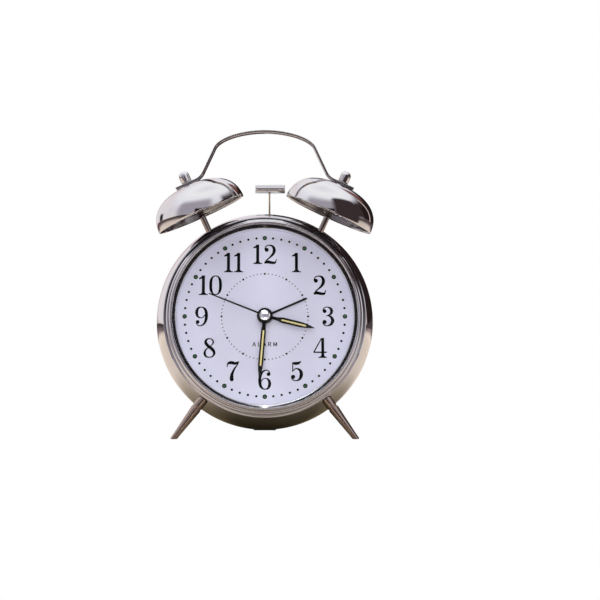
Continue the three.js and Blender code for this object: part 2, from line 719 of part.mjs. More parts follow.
function timeSetShaft() {
  const { centre, motion, timeSet } = ARBORS;
  const motionGear = { at: motion, teeth: 24, phase: gearPair(centre, 8, motion, 24).mate.phase };
  const distance = Math.hypot(timeSet.x - motion.x, timeSet.z - motion.z);
  const phase = meshPhase(motionGear, timeSet, 12);
  const shaft = rod(1.6, PLANE.motion, COVER_BACK + 0.7, timeSet, 16);
  const tip = rod(0.9, COVER_BACK, COVER_BACK + 4.5, timeSet, 12);
  const pinion = gear(12, (2 * distance) / 36, PLANE.motion - 0.1, timeSet, phase, 0.8);
  return node("time_set_shaft", join(shaft, tip, pinion), "whitePlastic");
}

function stepWheel() {
  const { centre, step, rotor: rotorAt } = ARBORS;
  const toSecond = gearPair(centre, 30, step, 6);
  const fromRotor = gearPair(rotorAt, 6, step, 36);
  return node("step_wheel", join(
    rod(ARBOR, MODULE_FRONT + 0.2, MODULE_BACK - 0.2, step, 12),
    gear(6, toSecond.module, PLANE.second - 0.2, step, toSecond.mate.phase, WHEEL + 0.4),
    gear(36, fromRotor.module, PLANE.step, step, fromRotor.mate.phase, 0.5),
  ), "whitePlastic");
}

function rotor() {
  const { step, rotor: at } = ARBORS;
  const { module } = gearPair(at, 6, step, 36);
  const magnet = rod(2.4, -2.4, 0.4, at, 20);
  const pinion = gear(6, module, PLANE.step - 0.2, at, 0, 0.8);
  return node("rotor", join(magnet, pinion, rod(ARBOR, -3, MODULE_BACK - 0.2, at, 12)), "darkSteel");
}

function statorPlate() {
  const at = ARBORS.rotor;
  const outer = block(-24, -8.6, -1.6, -0.6, -22.5, -5.2);
  const window = block(-21.8, -10.8, -3, 1, -19.3, -14.6);
  const coilGap = block(-22, -10.6, -3, 1, -26, -22.2);
  return node("stator_plate", cut(outer, window, rod(2.9, -3, 1, at, 24), coilGap), "darkSteel");
}

function driveCoil() {
  const coil = alongX([[1.9, -21.2], [3, -21.2], [3, -11.4], [1.9, -11.4], [1.9, -21.2]], -1.1, -20.75, 16);
  return node("drive_coil", coil, "copper");
}

function circuitBoard() {
  return node("circuit_board", block(2.5, 25.5, -6, -5, -26, -17), "board");
}

function quartzCrystal() {
  return node("quartz_crystal", alongX([[0, 6], [1, 6], [1, 12], [0, 12]], -3.7, -21.5, 12), "chrome");
}

// ----------------------------------------------------------------------------- hands

// A hand drawn pointing at 12: round hub, thin neck, straight body and a point.
function handShape({ hub, neck, body, shoulder, width, neckWidth, tip }) {
  const start = Math.asin(neckWidth / 2 / hub);
  const shape = new THREE.Shape();
  shape.absarc(0, 0, hub, Math.PI / 2 + start, Math.PI / 2 - start + 2 * Math.PI, false);
  for (const [x, z] of [[neckWidth / 2, neck], [width / 2, body], [width / 2, shoulder]]) shape.lineTo(x, z);
  shape.lineTo(0.15, tip);
  shape.lineTo(-0.15, tip);
  for (const [x, z] of [[width / 2, shoulder], [width / 2, body], [neckWidth / 2, neck]]) shape.lineTo(-x, z);
  return shape;
}

function hand(name, shape, plane, clockAngle, bore, material = "blackPaint") {
  const blade = plate(shape, plane, plane + 0.35, ARBORS.centre, 10);
  const drilled = cut(blade, rod(bore, plane - 1, plane + 1, ARBORS.centre, 20));
  return node(name, drilled.rotate([0, clockAngle, 0]), material);
}

function hands() {
  const hour = { hub: 3.4, neck: 6.2, body: 8.2, shoulder: 19.5, width: 2.9, neckWidth: 1.3, tip: 26.8 };
  const minute = { hub: 4.1, neck: 5.6, body: 7.2, shoulder: 26, width: 2.6, neckWidth: 1.3, tip: 33 };
  const second = { hub: 1.6, neck: 2, body: 3, shoulder: 12, width: 0.9, neckWidth: 0.8, tip: 31.1 };
  const alarm = { hub: 3.6, neck: 4, body: 5, shoulder: 23.4, width: 1, neckWidth: 1, tip: 23.9 };
  return [
    hand("alarm_hand", handShape(alarm), HAND_PLANE.alarm, HAND_ANGLE.alarm, 3.25),
    hand("hour_hand", handShape(hour), HAND_PLANE.hour, HAND_ANGLE.hour, 2.45),
    hand("minute_hand", handShape(minute), HAND_PLANE.minute, HAND_ANGLE.minute, 1.65),
    hand("second_hand", handShape(second), HAND_PLANE.second, HAND_ANGLE.second, 0.85),
  ];
}

function handCap() {
  const back = HAND_PLANE.second - 0.3;
  const [rim, crown, skirt] = [back - 0.1, back - 0.45, back + 0.2];
  const dome = turned([[0, rim], [2.3, rim], [2.7, rim], [2.6, rim - 0.2], [0, crown]], 24);
  const lip = turned([[1.2, skirt], [1.6, skirt], [1.6, rim - 0.1], [1.2, rim - 0.1], [1.2, skirt]], 24);
  return node("hand_cap", join(dome, lip), "chrome");
}

// ---------------------------------------------------------------------------- hammer

function hammerParts() {
  const { x, z } = HAMMER_PIVOT;
  const pivot = { x, z };
  const forkZ = MOTOR.z + 1.1;
  const leverShape = polygon([
    [x + 2.2, z - 1.5], [x + 2.2, z + 2.5], [x - 6, forkZ + 5.4], [MOTOR.x - 3, forkZ + 5.4],
    [MOTOR.x - 3, forkZ + 3.8], [MOTOR.x + 3.4, forkZ + 3.8], [MOTOR.x + 3.4, forkZ - 3.8],
    [MOTOR.x - 3, forkZ - 3.8], [MOTOR.x - 3, forkZ - 5.4], [x - 3, z - 1.4],
  ]);
  const lever = cut(
    join(plate(leverShape, -10.6, -9.4), rod(2.8, -13, -9.4, pivot, 20)),
    rod(1.3, -14, -8, pivot, 16),
    pegAt(0.75, z + 1.5, z + 4),
  );
  const headProfile = [[0, -5], [2.1, -5], [2.3, -4.7], [2.3, 10.4], [2.1, 10.7], [0, 10.7]];
  const wireHole = pegAt(0.75, HAMMER_HEAD_Z - 3, HAMMER_HEAD_Z + 1.2);
  const head = cut(alongX(headProfile, HAMMER_DEPTH, HAMMER_HEAD_Z), wireHole);
  const pin = rod(1, -13.0, -7.2, pivot, 16);
  const crank = join(
    rod(2.6, -8.8, -7.4, MOTOR, 20),
    rod(0.6, -11, -8, { x: MOTOR.x + CRANK_THROW, z: MOTOR.z }, 12),
    rod(0.75, -8, -3, MOTOR, 12),
  );
  const can = cut(rod(MOTOR.radius, -6.6, 7, MOTOR, 24), rod(1.05, -8, -2.6, MOTOR, 16));
  const bracketWall = block(-20, 7, -8.6, -7, MODULE_HALF + GAP, 46);
  const bracketFoot = block(-20, 7, -8.6, 4, MODULE_HALF + GAP, MODULE_HALF + GAP + 1.4);
  const bracketHoles = [rod(3, -10, -6, MOTOR, 24), rod(1.3, -10, -6, pivot, 16)];
  const bracket = cut(join(bracketWall, bracketFoot), ...bracketHoles);
  return [
    node("hammer_lever", lever, "whitePlastic"),
    node("hammer_wire", pegAt(0.45, z + 1.9, HAMMER_HEAD_Z + 0.9), "brass"),
    node("hammer_head", head, "chrome"),
    node("hammer_pivot_pin", pin, "darkSteel"),
    node("hammer_crank", crank, "whitePlastic"),
    node("hammer_motor", can, "darkSteel"),
    node("hammer_bracket", bracket, "whitePlastic"),
  ];
}

// An upright peg above the hammer's pivot.
function pegAt(radius, z0, z1) {
  const base = { x: HAMMER_PIVOT.x, y: HAMMER_DEPTH, z: 0 };
  return pegOnAxis(radius, z0, z1, base, 0, 12);
}

// -------------------------------------------------------------------------- assembly

function buildClock() {
  const clock = new THREE.Group();
  clock.add(caseShell(), bezelRing(), lens(), reflectorRing(), dialPlate(), innerFrame());
  clock.add(...bellSet(), handleStrap());
  clock.add(rearCover(), batteryDoor(), battery(), positiveContact(), negativeContact(), batterySpring());
  SCREW_ANGLES.forEach((angle, i) => clock.add(coverScrew(`cover_screw_${i + 1}`, angle)));
  clock.add(alarmSwitch(), knob("time_set_knob", ARBORS.timeSet), knob("alarm_set_knob", ARBORS.alarm));
  clock.add(movementFront(), movementRear(), circuitBoard(), quartzCrystal(), driveCoil(), statorPlate());
  clock.add(rotor(), stepWheel(), secondWheel(), thirdWheel(), minuteWheel(), motionWheel(), hourWheel());
  clock.add(alarmWheel(), alarmSetShaft(), timeSetShaft(), ...hands(), handCap(), ...hammerParts());
  clock.rotation.x = -LEAN;
  return clock;
}

// Stands the clock on z = 0 with the origin below the middle of its bounding box.
function standUp(clock) {
  const stand = new THREE.Group();
  stand.add(clock);
  stand.updateMatrixWorld(true);
  const box = new THREE.Box3().setFromObject(stand, true);
  clock.position.set(-(box.min.x + box.max.x) / 2, -(box.min.y + box.max.y) / 2, -box.min.z);
  return stand;
}

export default standUp(buildClock());
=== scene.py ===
# %% [markdown]
# # A twin-bell alarm clock
# The clock is chromed sheet metal round a small quartz movement. This lesson makes its visible
# surfaces: turned metal, a printed dial, thin hands, a bent strap and a moulded plastic back.
# Every piece is drawn in the clock's own upright frame, in millimetres, and one matrix then
# leans it back onto the table, so no piece has to be turned by hand.

# %% Load the frame and keep its box
import json
import math
import bpy
import bmesh
from mathutils import Matrix, Vector


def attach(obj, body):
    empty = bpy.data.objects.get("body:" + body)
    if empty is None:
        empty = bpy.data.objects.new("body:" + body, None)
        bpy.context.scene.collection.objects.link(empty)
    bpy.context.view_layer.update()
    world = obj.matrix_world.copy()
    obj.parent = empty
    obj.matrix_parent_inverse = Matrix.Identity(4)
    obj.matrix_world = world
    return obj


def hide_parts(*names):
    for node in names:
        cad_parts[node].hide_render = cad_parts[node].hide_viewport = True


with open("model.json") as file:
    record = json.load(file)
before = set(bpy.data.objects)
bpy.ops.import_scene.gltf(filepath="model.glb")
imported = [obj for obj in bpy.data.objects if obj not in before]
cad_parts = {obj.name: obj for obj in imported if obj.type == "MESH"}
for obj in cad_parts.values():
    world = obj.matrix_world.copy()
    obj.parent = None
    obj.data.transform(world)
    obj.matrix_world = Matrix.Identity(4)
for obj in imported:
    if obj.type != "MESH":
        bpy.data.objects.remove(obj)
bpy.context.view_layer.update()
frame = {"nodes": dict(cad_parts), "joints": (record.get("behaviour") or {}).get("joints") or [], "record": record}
record = frame["record"]

# %% [markdown]
# The hand axis gives the clock's own frame. Its joint tells where the axis runs and how far the
# clock leans, so the drawing frame follows the model: x to the right of the dial, y along the
# axis towards the back, z up the dial. Its zero is the barrel's datum, 18 mm behind the joint.

# %% The clock's own frame
MM = 0.001
SECOND_HAND_PLANE = -18.0
joints = {joint["name"]: joint for joint in frame["joints"]}
hand_axis = Vector(joints["second_hand_turn"]["axis"])
hand_origin = Vector(joints["second_hand_turn"]["pos_m"]) - hand_axis * SECOND_HAND_PLANE * MM
across = Vector((1, 0, 0))
upward = across.cross(hand_axis)
STAND = Matrix.Translation(hand_origin) @ Matrix((across, hand_axis, upward)).transposed().to_4x4()
STAND = STAND @ Matrix.Scale(MM, 4)
FROM_WORLD = STAND.inverted()


def span(node):
    """Lowest and highest corners of a node in the clock's own frame, in millimetres."""
    points = [FROM_WORLD @ v.co for v in frame["nodes"][node].data.vertices]
    low = Vector([min(p[i] for p in points) for i in range(3)])
    high = Vector([max(p[i] for p in points) for i in range(3)])
    return low, high


body_of = {n: body for body, nodes in record["behaviour"]["bodies"].items() for n in nodes}
slot_of = {part["node"]: part["material_slot"] for part in record["subparts"]}
CASE_RADIUS = span("case_shell")[1].x
BOX_MARGIN = 0.01
BEZEL_RADIUS = span("bezel_ring")[1].x - BOX_MARGIN
BEZEL_FRONT = span("bezel_ring")[0].y
DIAL_FACE = span("dial_plate")[0].y
print("case radius %.1f mm, dial face at %.1f mm" % (CASE_RADIUS, DIAL_FACE))

# %% [markdown]
# The camera stands level, a little above the middle of the dial and 60 cm away, as for a product
# shot. The clock sits left of and below the middle of the frame, so the lens is shifted rather
# than turned: that keeps the verticals upright.

# %% Camera
CAMERA_DISTANCE = 0.600
CAMERA_RISE = 0.018
SENSOR_WIDTH = 36.0
LENS_LENGTH = 67.86
SIDE_SHIFT = 0.05867
DOWN_SHIFT = -0.02267
camera_data = bpy.data.cameras.new("camera")
camera = bpy.data.objects.new("camera", camera_data)
bpy.context.scene.collection.objects.link(camera)
camera_data.sensor_width = SENSOR_WIDTH
camera_data.lens = LENS_LENGTH
camera_data.shift_x = SIDE_SHIFT
camera_data.shift_y = DOWN_SHIFT
camera_data.clip_start = 0.01
camera.location = (0.0, hand_origin.y - CAMERA_DISTANCE, hand_origin.z + CAMERA_RISE)
camera.rotation_euler = (math.radians(90), 0, 0)
bpy.context.scene.camera = camera
print("camera at", tuple(round(c, 3) for c in camera.location))

# %% [markdown]
# ## Shader tools
# Polished metal, paint and plastic all carry the same small marks of use, so two effects are
# node groups: one breaks up the gloss with smears, the other gives a fine surface grain. A group
# gives out only values, and each material keeps its own shader.


# %% Node helpers
def add_node(tree, kind, inputs=None, **settings):
    node = tree.nodes.new(kind)
    for key, value in settings.items():
        setattr(node, key, value)
    for key, value in (inputs or {}).items():
        if isinstance(value, bpy.types.NodeSocket):
            tree.links.new(value, node.inputs[key])
        else:
            node.inputs[key].default_value = value
    return node


def add_math(tree, operation, a, b=0.0, c=0.0):
    return add_node(tree, "ShaderNodeMath", {0: a, 1: b, 2: c}, operation=operation).outputs[0]


def new_group(name, inputs, outputs):
    tree = bpy.data.node_groups.new(name, "ShaderNodeTree")
    for label, kind, value in inputs:
        socket = tree.interface.new_socket(label, in_out="INPUT", socket_type=kind)
        if value is not None:
            socket.default_value = value
    for label, kind in outputs:
        tree.interface.new_socket(label, in_out="OUTPUT", socket_type=kind)
    return tree, tree.nodes.new("NodeGroupInput"), tree.nodes.new("NodeGroupOutput")


# %% Effect groups: smears and grain
def smears_group():
    """Soft patches left by handling: a value round the base roughness."""
    tree, given, out = new_group(
        "smears",
        [("Vector", "NodeSocketVector", None), ("Scale", "NodeSocketFloat", 60.0),
         ("Base", "NodeSocketFloat", 0.05), ("Amount", "NodeSocketFloat", 0.05)],
        [("Roughness", "NodeSocketFloat")],
    )
    broad = add_node(tree, "ShaderNodeTexNoise", {"Vector": given.outputs["Vector"],
                     "Scale": given.outputs["Scale"], "Detail": 4.0, "Roughness": 0.6})
    shaped = add_node(tree, "ShaderNodeMapRange", {"Value": broad.outputs["Fac"],
                      "From Min": 0.45, "From Max": 0.75})
    added = add_math(tree, "MULTIPLY", shaped.outputs["Result"], given.outputs["Amount"])
    total = add_math(tree, "ADD", added, given.outputs["Base"])
    tree.links.new(total, out.inputs["Roughness"])
    return tree


def grain_group():
    """Height of a fine moulded or sprayed surface."""
    tree, given, out = new_group(
        "surface_grain",
        [("Vector", "NodeSocketVector", None), ("Scale", "NodeSocketFloat", 900.0),
         ("Ripple", "NodeSocketFloat", 0.2)],
        [("Height", "NodeSocketFloat")],
    )
    fine = add_node(tree, "ShaderNodeTexNoise", {"Vector": given.outputs["Vector"],
                    "Scale": given.outputs["Scale"], "Detail": 2.0})
    slow = add_node(tree, "ShaderNodeTexNoise", {"Vector": given.outputs["Vector"],
                    "Scale": 45.0, "Detail": 1.0})
    wave = add_math(tree, "MULTIPLY", slow.outputs["Fac"], given.outputs["Ripple"])
    both = add_math(tree, "ADD", fine.outputs["Fac"], wave)
    tree.links.new(both, out.inputs["Height"])
    return tree


SMEARS = smears_group()
GRAIN = grain_group()
# Colour and extra roughness of the painted shade on chrome.
CHROME_SHADE_COLOR = (0.075, 0.06, 0.06, 1)
CHROME_SHADE_ROUGHNESS = 0.2


def finish_material(name, color, metallic, roughness, smear=0.04, smear_scale=60.0, grain_scale=900.0,
                    bump=0.02, mottling=0.04, coat=0.0, ior=1.5):
    """One material: a slightly uneven colour, smeared gloss and a fine grain."""
    material = bpy.data.materials.new(name)
    material.use_nodes = True
    tree = material.node_tree
    shader = tree.nodes["Principled BSDF"]
    place = add_node(tree, "ShaderNodeTexCoord").outputs["Object"]
    tint = add_node(tree, "ShaderNodeTexNoise", {"Vector": place, "Scale": 25.0, "Detail": 3.0})
    darker = tuple(c * (1 - mottling) for c in color) + (1,)
    ramp = add_node(tree, "ShaderNodeMix", {"Factor": tint.outputs["Fac"]}, data_type="RGBA")
    ramp.inputs[6].default_value = darker
    ramp.inputs[7].default_value = tuple(color) + (1,)
    tree.links.new(ramp.outputs[2], shader.inputs["Base Color"])
    smear_node = add_node(tree, "ShaderNodeGroup", node_tree=SMEARS)
    tree.links.new(place, smear_node.inputs["Vector"])
    smear_node.inputs["Scale"].default_value = smear_scale
    smear_node.inputs["Base"].default_value = roughness
    smear_node.inputs["Amount"].default_value = smear
    tree.links.new(smear_node.outputs["Roughness"], shader.inputs["Roughness"])
    grain = add_node(tree, "ShaderNodeGroup", node_tree=GRAIN)
    tree.links.new(place, grain.inputs["Vector"])
    grain.inputs["Scale"].default_value = grain_scale
    relief = add_node(tree, "ShaderNodeBump", {"Height": grain.outputs["Height"], "Strength": bump,
                      "Distance": 0.0004})
    tree.links.new(relief.outputs["Normal"], shader.inputs["Normal"])
    # Painted shade: a point value, set inside the bells and in the case's grooves, darkens the chrome's colour and
    # makes it rougher.
    if name == "chrome":
        shade_mask = add_node(tree, "ShaderNodeAttribute", attribute_name="painted_shade").outputs["Fac"]
        shaded = add_node(tree, "ShaderNodeMix", {"Factor": shade_mask}, data_type="RGBA")
        tree.links.new(ramp.outputs[2], shaded.inputs[6])
        shaded.inputs[7].default_value = CHROME_SHADE_COLOR
        tree.links.new(shaded.outputs[2], shader.inputs["Base Color"])
        rougher = add_math(tree, "MULTIPLY_ADD", shade_mask, CHROME_SHADE_ROUGHNESS, smear_node.outputs["Roughness"])
        tree.links.new(rougher, shader.inputs["Roughness"])
    shader.inputs["Metallic"].default_value = metallic
    shader.inputs["Coat Weight"].default_value = coat
    shader.inputs["IOR"].default_value = ior
    return material


# %% [markdown]
# The finishes. Chrome is nearly a mirror, a touch cooler than white. The dial is satin paint, the
# hands are semi-gloss black, and the cover is moulded plastic with a spark-eroded grain. Legs,
# strap and posts get a darker chrome colour, a painted reflection that stands in for dark things
# round them that this studio doesn't build. Parts inside the case get the finish of their
# material too, because the battery door opens.

# %% The finishes
CHROME_LIKE = {"metallic": 1.0, "smear": 0.035, "smear_scale": 55.0, "grain_scale": 700.0, "bump": 0.012,
               "mottling": 0.03}
FINISH = {
    "chrome": finish_material("chrome", (0.82, 0.82, 0.84), roughness=0.035, **CHROME_LIKE),
    "dark_steel": finish_material("zinc_plated_steel", (0.42, 0.42, 0.43), 1.0, 0.3, 0.12, 90.0, 1200.0,
                                  0.1),
    "brass": finish_material("brass", (0.62, 0.52, 0.34), 1.0, 0.22, 0.1, 80.0, 900.0, 0.05),
    "copper": finish_material("copper_winding", (0.62, 0.28, 0.14), 0.9, 0.35, 0.1, 80.0, 2500.0, 0.4),
    "dial_white": finish_material("dial_paint", (0.67, 0.67, 0.79), 0.0, 0.42, 0.06, 30.0, 1500.0,
                                  0.03, 0.02),
    "black_paint": finish_material("hand_paint", (0.005, 0.005, 0.006), 0.0, 0.35, 0.08, 200.0, 1500.0,
                                   0.03, ior=1.3),
    "black_plastic": finish_material("black_moulded_plastic", (0.018, 0.018, 0.02), 0.0, 0.46, 0.1, 60.0,
                                     2600.0, 0.35),
    "white_plastic": finish_material("natural_moulded_plastic", (0.78, 0.76, 0.70), 0.0, 0.42, 0.1, 60.0,
                                     1600.0, 0.1),
    "board": finish_material("phenolic_board", (0.42, 0.27, 0.10), 0.0, 0.5, 0.1, 60.0, 1800.0, 0.2,
                             0.15),
    "battery_wrap": finish_material("battery_sleeve", (0.05, 0.22, 0.12), 0.3, 0.28, 0.08, 60.0, 900.0,
                                    0.03),
}
INK = finish_material("dial_ink", (0.003, 0.003, 0.005), 0.0, 0.6, 0.05, 200.0, 1500.0, 0.02, ior=1.15)
LUME = finish_material("luminous_paint", (0.72, 0.62, 0.26), 0.0, 0.7, 0.05, 300.0, 2500.0, 0.3, 0.12)
LUME_DOT = finish_material("luminous_dot", (0.03, 0.10, 0.04), 0.0, 0.6, 0.05, 300.0, 2500.0, 0.2, 0.2)
# Painted reflection: legs, strap and bell pins get a darker chrome colour in place of dark surroundings that are
# not built.
LEG_CHROME = finish_material("leg_chrome", (0.46, 0.37, 0.32), roughness=0.05, **CHROME_LIKE)
STRAP_CHROME = finish_material("strap_chrome", (0.46, 0.44, 0.45), roughness=0.05, **CHROME_LIKE)
PIN_CHROME = finish_material("pin_chrome", (0.36, 0.32, 0.30), roughness=0.05, **CHROME_LIKE)


def glass_material():
    """Flat mineral glass: clear, with a faint print of fingers in its gloss."""
    material = bpy.data.materials.new("lens_glass")
    material.use_nodes = True
    tree = material.node_tree
    shader = tree.nodes["Principled BSDF"]
    shader.inputs["Base Color"].default_value = (0.99, 0.99, 1.0, 1)
    shader.inputs["Metallic"].default_value = 0.0
    shader.inputs["Transmission Weight"].default_value = 1.0
    shader.inputs["IOR"].default_value = 1.1
    place = add_node(tree, "ShaderNodeTexCoord").outputs["Object"]
    smear_node = add_node(tree, "ShaderNodeGroup", node_tree=SMEARS)
    tree.links.new(place, smear_node.inputs["Vector"])
    smear_node.inputs["Base"].default_value = 0.0
    smear_node.inputs["Amount"].default_value = 0.01
    tree.links.new(smear_node.outputs["Roughness"], shader.inputs["Roughness"])
    return material


FINISH["glass"] = glass_material()
for name, node in frame["nodes"].items():
    node.data.materials.clear()
    node.data.materials.append(FINISH[slot_of[name]])
print(len(FINISH), "finishes")

# %% [markdown]
# ## Making a piece
# Nearly every metal part is turned, so one tool revolves a profile round an axis. Corners in a
# profile may carry a fillet: real edges are never sharp, and on chrome it is the small radius
# that catches the light. A finished piece takes its place, its body, its finish and its CAD node
# in one call.


# %% Profiles and turned meshes
def fillet(profile, steps=5):
    """Rounds each [radius, depth, fillet] corner of a profile with an arc-like curve."""
    smooth = []
    for i, point in enumerate(profile):
        if len(point) < 3:
            smooth.append(tuple(point[:2]))
            continue
        here = Vector(point[:2])
        before = Vector(profile[i - 1][:2]) - here
        after = Vector(profile[(i + 1) % len(profile)][:2]) - here
        reach = min(point[2], before.length * 0.49, after.length * 0.49)
        start = here + before.normalized() * reach
        end = here + after.normalized() * reach
        for k in range(steps + 1):
            t = k / steps
            smooth.append(tuple(start * (1 - t) ** 2 + here * 2 * t * (1 - t) + end * t * t))
    return smooth


def turned(profile, place=Matrix(), segments=160, closed=False):
    """Revolves a profile of [radius, along] about the y axis of a placement matrix."""
    mesh = bmesh.new()
    rings = []
    for radius, along in profile:
        if radius < 1e-5:
            rings.append([mesh.verts.new(place @ Vector((0, along, 0)))])
            continue
        turn = [2 * math.pi * k / segments for k in range(segments)]
        spots = [Vector((radius * math.cos(a), along, radius * math.sin(a))) for a in turn]
        rings.append([mesh.verts.new(place @ spot) for spot in spots])
    pairs = list(zip(rings, rings[1:])) + ([(rings[-1], rings[0])] if closed else [])
    for first, second in pairs:
        for k in range(segments):
            after = (k + 1) % segments
            loop = [first[k % len(first)], first[after % len(first)],
                    second[after % len(second)], second[k % len(second)]]
            loop = list(dict.fromkeys(loop))
            if len(loop) > 2:
                mesh.faces.new(loop)
    return mesh


def along_axis(base, angle):
    """Placement whose y axis leaves a point in the dial's plane at an angle from upright."""
    lift = Vector((math.sin(angle), 0, math.cos(angle)))
    depth = Vector((0, 1, 0))
    side = lift.cross(depth)
    return Matrix.Translation(base) @ Matrix((side, lift, depth)).transposed().to_4x4()


# %% Finishing a piece
def object_from(name, mesh):
    data = bpy.data.meshes.new(name)
    bmesh.ops.remove_doubles(mesh, verts=mesh.verts, dist=1e-5)
    bmesh.ops.recalc_face_normals(mesh, faces=mesh.faces)
    mesh.to_mesh(data)
    mesh.free()
    thing = bpy.data.objects.new(name, data)
    bpy.context.scene.collection.objects.link(thing)
    return thing


def harden(thing):
    """Turns an object's modifiers into plain mesh."""
    depsgraph = bpy.context.evaluated_depsgraph_get()
    data = bpy.data.meshes.new_from_object(thing.evaluated_get(depsgraph))
    thing.modifiers.clear()
    thing.data = data
    return thing


def combine(thing, tool, operation):
    """Joins or cuts one closed mesh with another, and removes the tool."""
    modifier = thing.modifiers.new("boolean", "BOOLEAN")
    modifier.operation = operation
    modifier.solver = "MANIFOLD"
    modifier.object = tool
    harden(thing)
    bpy.data.objects.remove(tool)
    return thing


def seat(thing, node=None, material=None, sharp=35, body=None, slot=None, replace=True):
    """Leans a finished piece onto the table and ties it to its CAD node."""
    thing.data.transform(STAND)
    thing.data.materials.clear()
    thing.data.materials.append(material or FINISH[slot_of[node]])
    for face in thing.data.polygons:
        face.use_smooth = True
    thing.data.set_sharp_from_angle(angle=math.radians(sharp))
    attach(thing, body or body_of[node])
    if replace:
        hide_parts(node)
    print("made", thing.name, len(thing.data.polygons), "faces")
    return thing


def turned_piece(name, profile, node, place=Matrix(), closed=False, segments=160, **seating):
    return seat(object_from(name, turned(profile, place, segments, closed)), node, **seating)

# %% [markdown]
# ## The case
# The barrel is one drawn sheet: a bulging side, a rolled shoulder bead at the front and a small
# turned-in lip at the back. The bulge is a circular arc, which is what stretches the reflections
# into long curved bands.

# %% Barrel, bezel and reflector
BARREL_ARC = 43.75
BARREL_MIDDLE = 4.0
BARREL_FRONT = -16.5
BARREL_BACK = 19.0
BARREL_WALL = 0.8


def barrel_radius(depth):
    return CASE_RADIUS - BARREL_ARC + math.sqrt(BARREL_ARC ** 2 - (depth - BARREL_MIDDLE) ** 2)


def bead(steps=14):
    """The rolled shoulder: a round bead from the barrel's front edge to its foot."""
    start = Vector((barrel_radius(BARREL_FRONT), BARREL_FRONT))
    middle = Vector((start.x - 1.2, BARREL_FRONT + 0.6))
    points = []
    for k in range(steps + 1):
        angle = math.radians(20 + 140 * k / steps)
        points.append((49.9 + 1.25 * math.cos(angle), -16.75 - 1.0 * math.sin(angle)))
    return [(middle.x, middle.y)] + points


def barrel_profile():
    outside = [(barrel_radius(BARREL_BACK - k * (BARREL_BACK - BARREL_FRONT) / 40),
                BARREL_BACK - k * (BARREL_BACK - BARREL_FRONT) / 40) for k in range(41)]
    inside = [(r - BARREL_WALL, y) for r, y in reversed(outside)]
    front = [(49.0, -16.2), (49.0, -15.7), (51.0, -15.7)]
    return outside + bead() + front + inside[1:]


case = object_from("case", turned(barrel_profile(), segments=256, closed=True))
slot_cutter = bmesh.new()
HAMMER_SLOT = (4.4, -13.4, -10.6)
bmesh.ops.create_cube(slot_cutter, size=1.0)
size = Vector((2 * HAMMER_SLOT[0], HAMMER_SLOT[2] - HAMMER_SLOT[1], 14))
middle = Vector((0, (HAMMER_SLOT[1] + HAMMER_SLOT[2]) / 2, 55))
bmesh.ops.transform(slot_cutter, verts=slot_cutter.verts,
                    matrix=Matrix.Translation(middle) @ Matrix.Diagonal((*size, 1)))
combine(case, object_from("slot_cutter", slot_cutter), "DIFFERENCE")
seat(case, "case_shell", sharp=30)
# Painted shade: the two grooves by the bead get the chrome's shade value, full on the upper part of the case and
# fading out towards the bottom.
GROOVES = [(48.6, 50.0), (50.95, 51.75)]
groove_shade = case.data.attributes.new("painted_shade", "FLOAT", "POINT")
for vertex, value in zip(case.data.vertices, groove_shade.data):
    at = FROM_WORLD @ vertex.co
    reach = math.hypot(at.x, at.z)
    height = min(max((at.z + 25) / 35, 0), 1)
    in_groove = at.y < -15.6 and any(a < reach < b for a, b in GROOVES)
    value.value = 0.9 * height if in_groove else 0.0

LIP = 47.67
bezel_profile = fillet([
    (BEZEL_RADIUS, -15.2), (BEZEL_RADIUS, BEZEL_FRONT + 0.5, 0.5), (BEZEL_RADIUS - 0.5, BEZEL_FRONT, 0.5),
    (LIP + 0.4, BEZEL_FRONT, 0.3), (LIP, BEZEL_FRONT + 0.5, 0.3), (LIP, -20.45), (48.55, -20.45),
    (48.55, -15.2),
])
turned_piece("bezel", bezel_profile, "bezel_ring", closed=True, segments=256, sharp=50)

DIAL_SIGHT = 45.6
reflector_profile = fillet([
    (47.6, -18.5), (46.0, -17.75, 0.3), (DIAL_SIGHT, -14.25), (DIAL_SIGHT + 0.3, -14.0), (47.9, -18.3),
])
reflector_low, reflector_high = span("reflector_ring")
print("reflector", tuple(round(v, 1) for v in (*reflector_low, *reflector_high)))
turned_piece("reflector", reflector_profile, "reflector_ring", closed=True, segments=256, sharp=50)

glass_profile = fillet([(48.3, -18.8, 0.15), (48.3, -20.2, 0.3), (0, -20.2), (0, -18.8)])
lens_mesh = turned([(0, -18.8)] + glass_profile[:-2] + [(0, -20.2)], segments=192)
seat(object_from("lens_glass", lens_mesh), "lens", sharp=30)

# %% [markdown]
# ## The dial
# The print is real geometry, a few hundredths of a millimetre of ink on satin enamel. Numerals in
# this old book style come from a broad nib, thick on the down strokes and hairline across. So
# each is drawn as strokes whose width changes along a curve, with balls and small serifs added.

# %% Dial plate
DIAL_RADIUS = 48.2
DIAL_HOLE = 4.1
DIAL_BACK = DIAL_FACE + 0.6
dial_profile = [(DIAL_HOLE, DIAL_FACE), (DIAL_RADIUS, DIAL_FACE), (DIAL_RADIUS, DIAL_BACK),
                (DIAL_HOLE, DIAL_BACK)]
turned_piece("dial", dial_profile, "dial_plate", closed=True, segments=192)


# %% Strokes of variable width
def curve_through(points, steps=10):
    """A smooth line through given points of (x, y, width)."""
    path = []
    for i in range(len(points) - 1):
        p0, p1 = points[max(i - 1, 0)], points[i]
        p2, p3 = points[i + 1], points[min(i + 2, len(points) - 1)]
        for k in range(steps):
            t = k / steps
            path.append(tuple(
                0.5 * (2 * b + (c - a) * t + (2 * a - 5 * b + 4 * c - d) * t * t
                       + (3 * b - a - 3 * c + d) * t ** 3)
                for a, b, c, d in zip(p0, p1, p2, p3)))
    return path + [tuple(points[-1])]


